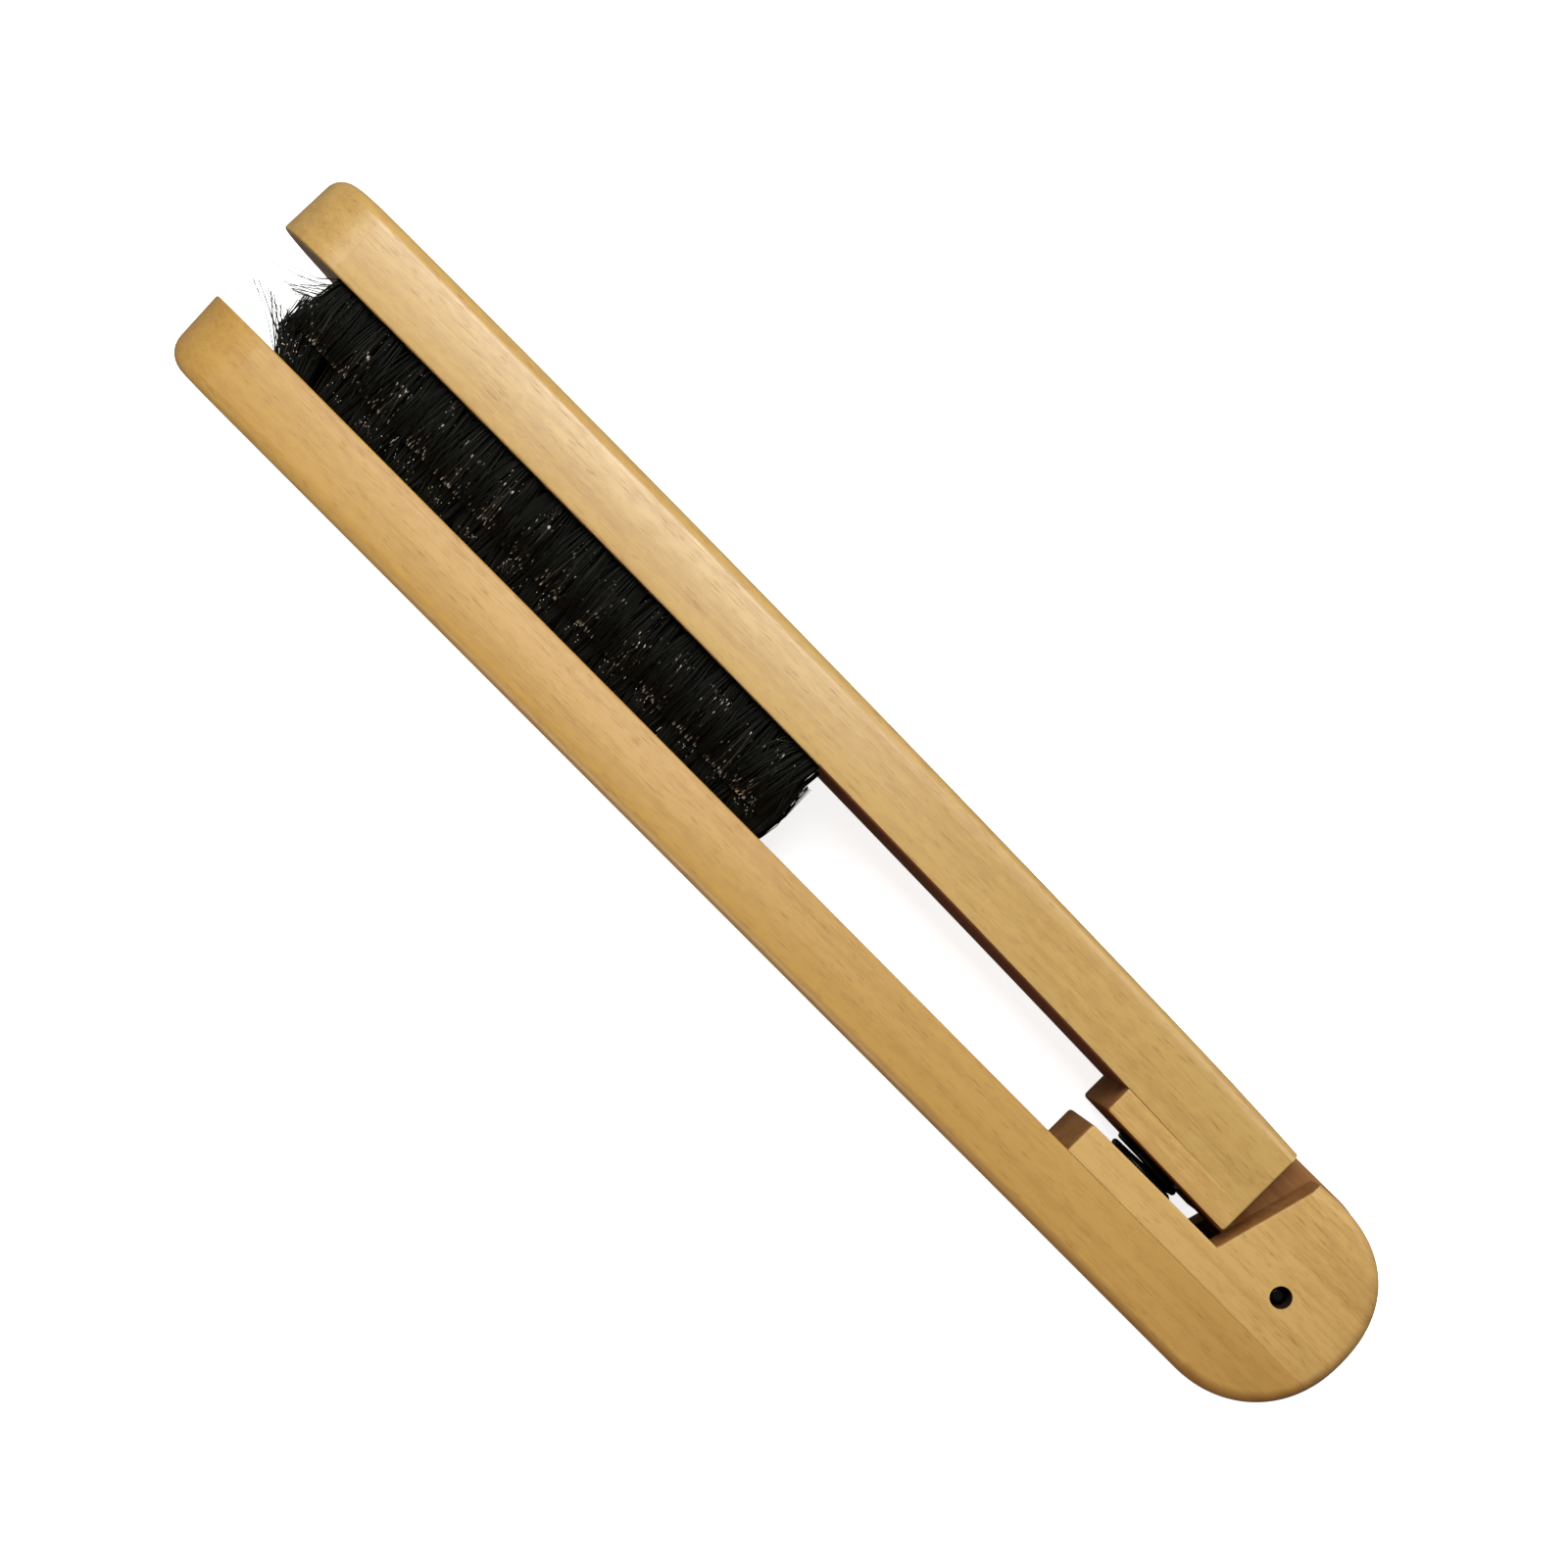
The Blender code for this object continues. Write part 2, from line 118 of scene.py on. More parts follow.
# The fork's block and cheeks, the spring's block and the tongue
CHEEK_END_X = 0.0851
BLOCK_FACE_Y = -0.00213
FORK_CORNER_X = 0.0860
FORK_TOP = (0.0903, 0.01418)
SPRING_BLOCK_Y = (0.00059, 0.00005)
CHEEK_THICKNESS = 0.0070
CHEEK_GAP = 0.0003
TONGUE_TOP_Y = 0.0150
TONGUE_CENTRE_X = 0.0952
TONGUE_END_X = 0.1096
TONGUE_SQUARENESS = 2.0
TONGUE_SHOULDER = (0.0885, 0.0)
BARREL_RADIUS = 0.0059
SLOT_CLEARANCE = 0.0006
HEEL_ANGLE = radians(24)

# The pin with its domed ends, as shares of the dome and of the radius, its hole, and the spring's pockets
PIN_RADIUS = 0.0012
PIN_DOME = 0.0003
PIN_END = ((0.0, 0.55), (0.4, 0.85), (1.0, 1.0))
PIN_HOLE_RADIUS = 0.0015
PIN_HOLE_FLARE = 0.0001
PIN_RECESS = 0.0020
POCKET_RADIUS = 0.0065
POCKET_FLOOR_Y = -0.0066
POCKET_ROOF_Y = 0.0039

# Small roundings: hand-eased edges, block corners, glue lines and the edges of slot and tongue
EASE = 0.00035
CORNER = 0.0006
GLUE_LINE = 0.0
SLOT_EASE = 0.00025

# How far the half-round tips lean back at their outer faces
TIP_LEAN = 0.0005

# How far painted shade darkens the wood, from 0 to 1 towards the shade colour, and on towards black at 2: drilled
# walls, the slot, the tongue between the cheeks, end grain (partly its own darker colour, partly painted shade), inner
# faces near the hinge, inner faces near the tips, and slanted cheek ends
DRILLED_SHADE = 1.9
SLOT_SHADE = 0.75
TONGUE_SHADE = 0.78
END_GRAIN_SHADE = 0.70
GAP_SHADE = 1.0
TIP_GAP_SHADE = 0.1
CHEEK_END_SHADE = 0.25

# How finely round shapes are divided
LEVEL_DEGREES = 3
TIP_STEPS = 8
END_STEPS = 28
BOW_STEPS = 28
CORNER_STEPS = 4
STEP_LEVELS = 3
CUTTER_SIDES = 48
PIN_SIDES = 32
ROOT_HOLE_SIDES = 20
COIL_STEPS = 48
WIRE_SIDES = 14
SIDE_LEVEL_ANGLE = radians(31)
SEARCH_TURNS = 40
CUT_REACH = 0.030
MERGE = 1e-6

# Tufts: their holes, and how far the bristles' ends stay from the other arm, as an angle about the pin
TUFT_PITCH = 0.00691
ROOT_HOLE_RADIUS = 0.00172
ROOT_HOLE_DEPTH = 0.0040
TIP_CLEAR_ANGLE = radians(1.35)

# The bristle tree's inputs that are settings
BRISTLE_INPUTS = {
    "Root Radius": "root_radius", "Hair Radius": "radius", "Fan": "fan", "Depth Fan": "depth_fan", "Lean": "lean",
    "Shortest": "short", "Longest": "long", "Sink": "sink", "Stray Share": "stray_share",
    "Stray Reach": "stray_reach", "Stub Share": "stub_share",
}

# The floor's half side, the backdrop's radius, and the angle from which an edge stays crisp
FLOOR_REACH = 6.0
BACKDROP_RADIUS = 5.9
CRISP_ANGLE = radians(35)
WHITE = (1.0, 1.0, 1.0, 1.0)

# The camera that sees the comb as photographed, above it and turned by an eighth of a turn
CAMERA_PLACE = (0.01712, -0.00989, 0.32971)
CAMERA_TURN = (radians(-0.305), radians(1.068), radians(45.035))
CAMERA_LENS = 50.0
CAMERA_SHIFT_Y = 0.1033


def colour(name, description, default):
    """A colour that a user can change."""
    return FloatVectorProperty(
        name=name, description=description, default=default, subtype="COLOR", size=3, min=0.0, max=1.0
    )


def length(name, description, default):
    """A length in metres that a user can change."""
    return FloatProperty(
        name=name, description=description, default=default, min=0.0, precision=5, unit="LENGTH"
    )


class CombWood(PropertyGroup):
    """Shape and finish of the wooden pieces."""

    edge_radius: length("Edge rounding", "Radius of the long outer edges", 0.0020)
    lower_tip_radius: length("Lower tip rounding", "Radius of the lower arm's outer tip edge", 0.0045)
    upper_tip_radius: length("Upper tip rounding", "Radius of the upper arm's outer tip edge", 0.0032)
    upper_colour: colour("Upper arm", "Colour of the upper arm's wood", (0.595, 0.377, 0.117))
    lower_colour: colour("Lower arm", "Colour of the lower arm's wood", (0.558, 0.325, 0.0865))
    block_colour: colour("Blocks", "Colour of the two glued blocks", (0.635, 0.398, 0.132))
    grain_colour: colour("Grain", "Colour of the darker grain and flecks", (0.33, 0.15, 0.032))
    # Painted shade colour: the lower arm's outer round edges, recesses, end grain, inner faces and holes are mixed
    # towards it
    painted_shade_colour: colour("Burnished rim", "Colour of the worn, darkened round edges", (0.22, 0.064, 0.011))
    roughness: FloatProperty(name="Roughness", description="Roughness of the oiled wood", default=0.33, max=1)
    upper_gloss: FloatProperty(name="Upper gloss", description="Gloss of the upper arm", default=0.62, min=0, max=1)
    lower_gloss: FloatProperty(name="Lower gloss", description="Gloss of the other wood", default=0.28, min=0, max=1)


class CombBristles(PropertyGroup):
    """The bristle tufts."""

    outer_hairs: IntProperty(name="Hairs, outer rows", description="Bristles per tuft next to a side", default=165)
    inner_hairs: IntProperty(name="Hairs, inner rows", description="Bristles per tuft between rows", default=95)
    radius: length("Hair radius", "Radius of one bristle", 0.000085)
    root_radius: length("Root radius", "Half of a tuft's length along the arm where it leaves the wood", 0.0029)
    fan: length("Fan", "How far a tuft fans out along the arm", 0.0009)
    depth_fan: length("Fan in depth", "How far a tuft fans out in the comb's depth", 0.0004)
    lean: length("Lean", "How far a bristle can lean along the arm at its end", 0.0009)
    lift: length("Lift", "How far the lower arm's outer tufts bend towards the side faces", 0.0022)
    sink: length("Sink", "How deep the bristles start inside their holes", 0.0006)
    short: length("Shortest", "How much shorter than the tip line a bristle can be", 0.0040)
    long: length("Longest", "How much longer than the tip line a bristle can be", 0.00002)
    stray_share: FloatProperty(name="Strays", description="Share of stray bristles at the tips' end", default=0.05)
    stray_reach: length("Stray reach", "How far a stray bristle can stick out past the mass", 0.0105)
    stub_share: FloatProperty(name="Short ones", description="Share of much shorter bristles", default=0.09)
    end_reach: length("End reach", "How far the upper arm's first tufts spread towards the tips", 0.0001)
    lower_end_reach: length("Lower end reach", "The same for the lower arm's first tufts", 0.0024)
    end_draw: length("End draw", "How far the last tufts lean back towards the tips", 0.0012)
    end_fullness: FloatProperty(name="End fullness", description="How much denser the end tufts are", default=2.2)
    seed: IntProperty(name="Seed", description="Seed of the random lengths and directions", default=7)
    colour: colour("Hair colour", "Colour of the bristles", (0.0118, 0.0122, 0.0088))
    faded_colour: colour("Faded colour", "Colour of the few faded bristles", (0.085, 0.068, 0.050))
    end_colour: colour("End colour", "Colour of the bristles' cut ends", (0.92, 0.80, 0.66))


class CombSpring(PropertyGroup):
    """The coil spring and the pin."""

    turns: IntProperty(name="Turns", description="Turns of the coil spring", default=7, min=3)
    wire_radius: length("Wire radius", "Radius of the spring's wire", 0.0005)
    end_pitch: length("End pitch", "Rise of the first and the last turn", 0.00112)
    colour: colour("Steel", "Colour of the blackened steel", (0.014, 0.013, 0.013))


class CombStage(PropertyGroup):
    """Floor and lights."""

    floor_colour: colour("Floor", "Colour of the floor", (0.93, 0.93, 0.93))
    floor_glow: FloatProperty(name="Floor glow", description="Light that lifts the shadows", default=0.85, min=0)
    key_power: FloatProperty(name="Key light", description="Power of the key light", default=2.75, unit="POWER")
    side_power: FloatProperty(name="Side light", description="Power of the side light", default=1.7, unit="POWER")
    fill_power: FloatProperty(name="Fill light", description="Power of the fill light", default=2.3, unit="POWER")
    low_power: FloatProperty(name="Low light", description="Power of the low light", default=1.7, unit="POWER")
    world: FloatProperty(name="Surroundings", description="Brightness of the surroundings", default=0.13, min=0)


class Socket:
    """A node's output that takes part in Python arithmetic, each operation adding its Math node."""

    def __init__(self, tree, output):
        self.tree = tree
        self.output = output

    def __add__(self, other):
        return maths(self.tree, "ADD", self, other)

    def __radd__(self, other):
        return maths(self.tree, "ADD", other, self)

    def __sub__(self, other):
        return maths(self.tree, "SUBTRACT", self, other)

    def __rsub__(self, other):
        return maths(self.tree, "SUBTRACT", other, self)

    def __mul__(self, other):
        return maths(self.tree, "MULTIPLY", self, other)

    def __rmul__(self, other):
        return maths(self.tree, "MULTIPLY", other, self)

    def __truediv__(self, other):
        return maths(self.tree, "DIVIDE", self, other)

    def __pow__(self, other):
        return maths(self.tree, "POWER", self, other)

    def __neg__(self):
        return maths(self.tree, "MULTIPLY", self, -1.0)

    def more(self, name):
        """Another output of the same node."""
        return Socket(self.tree, self.output.node.outputs[name])


def fill(tree, node, sockets):
    """Gives a node's inputs their values or links."""
    for key, value in sockets.items():
        if isinstance(value, Socket):
            tree.links.new(value.output, node.inputs[key])
        else:
            node.inputs[key].default_value = value


def add_node(tree, kind, settings=None, sockets=None, output=0):
    """Adds a node: its settings first, then the values or links of its sockets. Gives one output."""
    node = tree.nodes.new(kind)
    for key, value in (settings or {}).items():
        setattr(node, key, value)
    fill(tree, node, sockets or {})
    return Socket(tree, node.outputs[output]) if len(node.outputs) else node


def maths(tree, operation, first, second=0.0):
    """A Math node on two values or sockets."""
    return add_node(tree, "ShaderNodeMath", {"operation": operation}, {0: first, 1: second})


def mix(tree, factor, first, second):
    """A colour between two colours."""
    ends = {key: end if isinstance(end, Socket) else (*end, 1.0) for key, end in ((6, first), (7, second))}
    settings = {"data_type": "RGBA", "clamp_factor": True}
    return add_node(tree, "ShaderNodeMix", settings, {0: factor, **ends}, output=2)


def new_material(name):
    """An empty node material and its Principled shader."""
    made = bpy.data.materials.new(name)
    made.use_nodes = True
    return made, made.node_tree, made.node_tree.nodes["Principled BSDF"]


def stretched_noise(tree, place, scale, offset, detail=3.0, rough=0.55, distortion=0.0):
    """Noise on the piece's own coordinates, with its own scale per metre along each axis."""
    mapped = add_node(
        tree, "ShaderNodeMapping", {"vector_type": "POINT"}, {"Vector": place, "Location": offset, "Scale": scale}
    )
    sockets = {"Vector": mapped, "Scale": 1.0, "Detail": detail, "Roughness": rough, "Distortion": distortion}
    return add_node(tree, "ShaderNodeTexNoise", {"noise_dimensions": "3D"}, sockets)


def ramp(tree, value, low, high):
    """0 where the value is below low, 1 where it is above high, and growing between them."""
    made = add_node(tree, "ShaderNodeValToRGB", None, {0: value})
    first, last = made.output.node.color_ramp.elements
    first.position, last.position = low, high
    return made


def attribute(tree, name):
    """A value that the mesh keeps under a name."""
    return add_node(tree, "ShaderNodeAttribute", {"attribute_name": name}, output="Fac")


def wood(name, colour, gloss, offset):
    """Oiled pale hardwood: grain along X, fine fibres, short dark flecks, and painted shade on marked faces and round
    edges.
    """
    look = bpy.context.scene.comb_wood
    made, tree, shader = new_material(name)
    place = add_node(tree, "ShaderNodeTexCoord", output="Object")
    drift = stretched_noise(tree, place, (9, 60, 60), offset, 2.0, 0.5)
    bands = stretched_noise(tree, place, (14, 420, 260), offset, 4.0, 0.6, 0.4)
    fibres = stretched_noise(tree, place, (110, 5200, 5200), offset, 3.0, 0.7)
    silk = stretched_noise(tree, place, (420, 900, 900), offset, 3.0, 0.6)
    flecks = stretched_noise(tree, place, (380, 3600, 2400), offset, 2.0, 0.5, 0.3)
    fleck_mask = ramp(tree, flecks, 0.60, 0.72)
    pores = stretched_noise(tree, place, (230, 6500, 6500), offset, 1.0, 0.5)
    pore_mask = ramp(tree, pores, 0.64, 0.74)
    dark = (bands - 0.5) * 0.9 + (drift - 0.5) * 0.55 + (fibres - 0.5) * 0.8 + (silk - 0.5) * 0.6 + 0.14
    dark = dark + fleck_mask * 0.42 + pore_mask * 0.26
    grain = mix(tree, dark, colour, look.grain_colour)
    shade = attribute(tree, "shade")
    # Painted shade: the rim and shade values mix the wood towards the shade colour, and shade above 1 on towards black
    worn = maths(tree, "MAXIMUM", attribute(tree, "rim"), shade) * (1.0 + (bands - 0.5) * 0.8)
    base = mix(tree, shade - 1.0, mix(tree, worn, grain, look.painted_shade_colour), (0.0, 0.0, 0.0))
    rough = (fibres - 0.5) * 0.22 + (silk - 0.5) * 0.12 + fleck_mask * 0.10 + look.roughness + shade * 0.6
    height = fibres * 0.6 + silk * 0.25 - fleck_mask * 0.5 - pore_mask * 0.5
    bump = add_node(tree, "ShaderNodeBump", None, {"Strength": 0.25, "Distance": 0.00005, "Height": height})
    fill(tree, shader, {"Base Color": base, "Roughness": rough, "Normal": bump, "Specular IOR Level": gloss})
    return made


def bristle_material():
    """Black bristle with brown-grey split ends."""
    look = bpy.context.scene.comb_bristles
    made, tree, shader = new_material("black_bristle")
    along, tone = attribute(tree, "along"), attribute(tree, "tone")
    split = ramp(tree, along, 0.93, 0.97) * ramp(tree, tone, 0.55, 0.80)
    faded = ramp(tree, tone, 0.86, 1.0) * ramp(tree, along, 0.15, 0.7)
    base = mix(tree, split, mix(tree, faded, look.colour, look.faded_colour), look.end_colour)
    fill(tree, shader, {"Base Color": base, "Roughness": 0.55, "Specular IOR Level": 0.15})
    return made


def steel_material():
    """Blackened steel with small worn spots."""
    made, tree, shader = new_material("blackened_steel_finish")
    place = add_node(tree, "ShaderNodeTexCoord", output="Object")
    wear = ramp(tree, stretched_noise(tree, place, (900, 900, 900), (0, 0, 0), 4.0, 0.6), 0.62, 0.78)
    base = mix(tree, wear * 0.5, bpy.context.scene.comb_spring.colour, (0.12, 0.11, 0.10))
    fill(tree, shader, {"Base Color": base, "Roughness": wear * 0.15 + 0.3, "Metallic": 0.75})
    return made


def lower_face(x):
    """Height across the comb of the lower arm's inner face."""
    return LOWER_FACE_Y + LOWER_FACE_SLOPE * (x - TIP_X)


def upper_face(x):
    """Height across the comb of the upper arm's inner face."""
    return UPPER_FACE_Y - BOW * max(0.0, x - BOW_X) ** 2


def upper_outer(x):
    """Height across the comb of the upper arm's outer face."""
    share = min(1.0, max(0.0, x - TAPER_X) / (CHEEK_END_X - TAPER_X))
    return upper_face(min(x, CHEEK_END_X)) + ARM_THICKNESS - TAPER * share**2


def lower_outer(_):
    """Height across the comb of the lower arm's outer face, which is flat."""
    return LOWER_OUTER_Y


def spread(low, high, steps):
    """Evenly spaced values from low to high, both included."""
    return [low + (high - low) * i / steps for i in range(steps + 1)]


def squared_quarter(centre, half_width, half_height, squareness, angle):
    """A point on a rounded quarter at this angle from +X."""
    c, s = max(0.0, cos(angle)), sin(angle)
    x = half_width * c ** (2 / squareness)
    y = half_height * copysign(abs(s) ** (2 / squareness), s)
    return centre[0] + x, centre[1] + y


def angle_at_height(point_at, height, low, high):
    """The angle between low and high at which a rising curve crosses this height."""
    for _ in range(SEARCH_TURNS):
        middle = (low + high) / 2
        low, high = (middle, high) if point_at(middle)[1] < height else (low, middle)
    return (low + high) / 2


def fork_end(angle):
    """A point on the fork's round end at this angle from +X."""
    top = angle > 0
    half_height = END_TOP_Y - END_CENTRE_Y if top else END_CENTRE_Y - LOWER_OUTER_Y
    squareness = TOP_SQUARENESS if top else BOTTOM_SQUARENESS
    return squared_quarter((END_CENTRE_X, END_CENTRE_Y), END_X - END_CENTRE_X, half_height, squareness, angle)


def tongue_end(angle):
    """A point on the tongue's round end at this angle from +X."""
    centre = (TONGUE_CENTRE_X, PIN_Y)
    return squared_quarter(
        centre, TONGUE_END_X - TONGUE_CENTRE_X, TONGUE_TOP_Y - PIN_Y, TONGUE_SQUARENESS, angle
    )


def roundover(radius, depth):
    """How far a rounded edge stands back at this depth from where the rounding starts."""
    if depth >= radius:
        return 0.0
    return radius - sqrt(radius**2 - (radius - depth) ** 2)


def edge(points, side, inner=0.0):
    """Points whose following edges are rounded by these radii, at the side faces and at a step in the depth."""
    return [(x, y, side, inner) for x, y in points]


def fillers(count):
    """Places in an outline that are spread evenly along the straight edge that they stand in."""
    return [None] * count


def stand_back(outline, depth, step_depth):
    """A closed anticlockwise outline with each edge moved inwards by its own rounding, its fillers filled in."""
    corners = [point for point in outline if point]
    moved = iter(moved_corners(corners, depth, step_depth))
    points = [next(moved) if place else None for place in outline]
    while None in points:
        start = points.index(None)
        end = next(i for i in range(start, len(points)) if points[i])
        sides = (spread(a, b, end - start + 1) for a, b in zip(points[start - 1], points[end]))
        points[start - 1:end + 1] = zip(*sides)
    return points


def moved_corners(outline, depth, step_depth):
    """The corners of a closed anticlockwise outline, with each edge moved inwards by its own rounding."""
    back = [roundover(side, depth) + roundover(inner, step_depth) for _, _, side, inner in outline]
    moved = []
    for i, (x, y, _, _) in enumerate(outline):
        before, after = outline[i - 1], outline[(i + 1) % len(outline)]
        first = Vector((before[1] - y, x - before[0])).normalized()
        second = Vector((y - after[1], after[0] - x)).normalized()
        cross = first.x * second.y - first.y * second.x
        if abs(cross) < 0.25:
            shift = (first + second).normalized() * (back[i - 1] + back[i]) / 2
        else:
            shift = Vector((back[i - 1] * second.y - back[i] * first.y, back[i] * first.x - back[i - 1] * second.x))
            shift /= cross
        moved.append((x + shift.x, y + shift.y))
    return moved


def plan_x(distance, z):
    """Where the line this far inside the half-round tip's edge lies, at this height in the depth."""
    return TIP_X + HALF - sqrt(max(0.0, (HALF - distance) ** 2 - (z - HALF) ** 2))


def tip_radius_at(z, tip_radius):
    """Rounding of the outer edge: that of the long edges at the sides, growing to the tip's own at the middle."""
    side_radius = bpy.context.scene.comb_wood.edge_radius
    angle = acos(max(-1.0, min(1.0, 1 - min(z, DEPTH - z) / HALF)))
    share = max(0.0, (angle - SIDE_LEVEL_ANGLE) / (pi / 2 - SIDE_LEVEL_ANGLE))
    return side_radius + (tip_radius - side_radius) * share**2 * (3 - 2 * share)


def tip_points(z, outer, outer_radius, face, side):
    """The half-round tip at this height, from the outer face to the inner face; side is +1 where outer is at +Y."""
    depth = min(z, DEPTH - z)
    shares = [1 - cos(a) for a in spread(0, pi / 2, TIP_STEPS)]
    points = []
    for share in reversed(shares):
        distance = min(outer_radius, depth) * share
        x = plan_x(distance, z)
        points.append((x, outer(x) - side * roundover(outer_radius, distance)))
    for share in shares:
        distance = min(EASE, depth) * share
        x = plan_x(distance, z)
        points.append((x, face(x) + side * roundover(EASE, distance)))
    centre = TIP_X + HALF
    leaned = []
    for x, y in points:
        share = (y - face(x)) / (outer(x) - face(x))
        leaned.append((x + TIP_LEAN * share * (centre - x) / HALF, y))
    return leaned


def half_levels(step=None, towards=0):
    """Heights from one side face to the middle plane, closer together at rounded edges and next to a step."""
    heights = [HALF * (1 - cos(radians(a))) for a in range(0, 91, LEVEL_DEGREES)]
    if step:
        fine = [step + towards * SLOT_EASE * (1 - cos(a)) for a in spread(0, pi / 2, STEP_LEVELS)]
        heights = [z for z in heights if z < min(fine) - SLOT_EASE / 2 or z > max(fine) + SLOT_EASE / 2] + fine
    return sorted(heights)


def both_halves(half):
    """The rings of one half of the depth, and the same rings mirrored in the middle plane."""
    mirrored = [[(x, y, DEPTH - z) for x, y, z in ring] for ring in reversed(half[:-1])]
    return half + mirrored


def raised(points, z):
    """Flat points at this height in the depth."""
    return [(x, y, z) for x, y in points]


def stepped_rings(side_outline, middle_outline, step, towards):
    """Rings of a piece that has one outline next to the side faces and another from a step inwards."""
    half = []
    for z in half_levels(step, towards):
        for outline in [side_outline] * (z <= step) + [middle_outline] * (z >= step):
            half.append(raised(stand_back(outline, z, abs(z - step)), z))
    return both_halves(half)


def loft(name, rings, material, rim_of=None, shade_of=None):
    """A closed solid through rings of equally many points, with a flat face wherever two rings share a height."""
    bm = bmesh.new()
    rim = bm.verts.layers.float.new("rim")
    known = {}

    def vertex(point):
        key = tuple(round(c / MERGE) for c in point)
        if key not in known:
            known[key] = bm.verts.new(point)
            known[key][rim] = rim_of(point) if rim_of else 0.0
        return known[key]

    def face(vertices):
        kept = [v for i, v in enumerate(vertices) if v != vertices[i - 1]]
        if len(set(kept)) > 2:
            return bm.faces.new(kept)
        return None

    rows = [[vertex(point) for point in ring] for ring in rings]
    count = len(rows[0])
    for low, high, ring, next_ring in zip(rows, rows[1:], rings, rings[1:]):
        if abs(ring[0][2] - next_ring[0][2]) < MERGE:
            changed = [i for i in range(count) if low[i] != high[i]]
            first, last = changed[0] - 1, changed[-1] + 1
            face(low[first:last + 1] + high[first:last + 1][::-1])
            continue
        for i in range(count):
            j = (i + 1) % count
            quad = face([low[i], low[j], high[j], high[i]])
            if quad:
                quad.smooth = True
    face(rows[0][::-1])
    face(rows[-1])
    bmesh.ops.recalc_face_normals(bm, faces=bm.faces)
    shade = bm.faces.layers.float.new("shade")
    for made in bm.faces:
        made[shade] = shade_of(made.normal, made.calc_center_median()) if shade_of else 0.0
    return finished(name, bm, material)


def placed(name, data):
    """A new object at the origin."""
    made = bpy.data.objects.new(name, data)
    bpy.context.scene.collection.objects.link(made)
    return made


def finished(name, bm, material):
    """Turns a bmesh into an object."""
    mesh = bpy.data.meshes.new(name)
    bm.to_mesh(mesh)
    bm.free()
    mesh.materials.append(material)
    return placed(name, mesh)


def turned(name, profile, axis_point, axis, sides, material, shade=0.0):
    """A solid turned about an axis, from a profile of places along the axis and radii."""
    bm = bmesh.new()
    shaded = bm.faces.layers.float.new("shade")
    turn = {"Y": Matrix.Rotation(radians(-90), 4, "X"), "Z": Matrix.Identity(4)}[axis]
    rows = []
    for along, radius in profile:
        row = []
        for i in range(sides):
            angle = 2 * pi * i / sides
            local = Vector((radius * cos(angle), radius * sin(angle), along))
            row.append(bm.verts.new(Vector(axis_point) + turn @ local))
        rows.append(row)
    for low, high in zip(rows, rows[1:]):
        for i in range(sides):
            j = (i + 1) % sides
            bm.faces.new((low[i], low[j], high[j], high[i])).smooth = True
    bm.faces.new(rows[0][::-1])
    bm.faces.new(rows[-1])
    bmesh.ops.recalc_face_normals(bm, faces=bm.faces)
    for made in bm.faces:
        made[shaded] = shade
    return finished(name, bm, material)


def bore(target, *cutters):
    """Cuts the cutters out of the target, then removes them."""
    for cutter in cutters:
        modifier = target.modifiers.new(cutter.name, "BOOLEAN")
        modifier.operation = "DIFFERENCE"
        modifier.solver = "EXACT"
        modifier.object = cutter
    plain_mesh(target)
    for cutter in cutters:
        bpy.data.objects.remove(cutter)


def plain_mesh(target):
    """Replaces an object's mesh by its evaluated mesh and drops its modifiers."""
    evaluated = target.evaluated_get(bpy.context.evaluated_depsgraph_get())
    mesh = bpy.data.meshes.new_from_object(evaluated)
    target.modifiers.clear()
    target.data = mesh


def sharpen(target):
    """Marks the edges that stay crisp."""
    target.data.set_sharp_from_angle(angle=CRISP_ANGLE)


def pin_hole(name, material):
    """A cutter for the pin's hole, flared at both side faces."""
    flare = PIN_HOLE_RADIUS + PIN_HOLE_FLARE
    profile = [
        (-MERGE, flare),
        (PIN_HOLE_FLARE, PIN_HOLE_RADIUS),
        (DEPTH - PIN_HOLE_FLARE, PIN_HOLE_RADIUS),
        (DEPTH + MERGE, flare),
    ]
    profile = [(-CUT_REACH, flare), *profile, (DEPTH + CUT_REACH, flare)]
    # The hole's walls get painted shade, nearly black
    return turned(name, profile, (PIN_X, PIN_Y, 0.0), "Z", CUTTER_SIDES, material, DRILLED_SHADE)


def pocket(name, low, high, material):
    """A cutter for one of the spring's pockets."""
    middle_x = (SPRING_LOW.x + SPRING_HIGH.x) / 2
    profile = [(low, POCKET_RADIUS), (high, POCKET_RADIUS)]
    # The pocket's walls get painted shade, nearly black
    return turned(name, profile, (middle_x, 0.0, HALF), "Y", CUTTER_SIDES, material, DRILLED_SHADE)


def tuft_places(rows, face):
    """Where the tufts of these rows leave the wood, read from the rows' boxes in the frame."""
    places = []
    for node in rows:
        low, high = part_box(node)
        count = round((high.x - low.x) / TUFT_PITCH)
        first = low.x + TUFT_PITCH / 2
        places += [(x, face(x), (low.z + high.z) / 2) for x in (first + i * TUFT_PITCH for i in range(count))]
    return places


def points_object(name, places):
    """A mesh of loose points."""
    mesh = bpy.data.meshes.new(name)
    mesh.from_pydata(places, [], [])
    return placed(name, mesh)


def new_tree(name, inputs):
    """A Geometry Nodes tree with a geometry input and output and these named inputs."""
    tree = bpy.data.node_groups.new(name, "GeometryNodeTree")
    tree.interface.new_socket("Geometry", in_out="INPUT", socket_type="NodeSocketGeometry")
    for label, kind in inputs.items():
        tree.interface.new_socket(label, in_out="INPUT", socket_type=f"NodeSocket{kind}")
    tree.interface.new_socket("Geometry", in_out="OUTPUT", socket_type="NodeSocketGeometry")
    start = add_node(tree, "NodeGroupInput")
    return tree, start


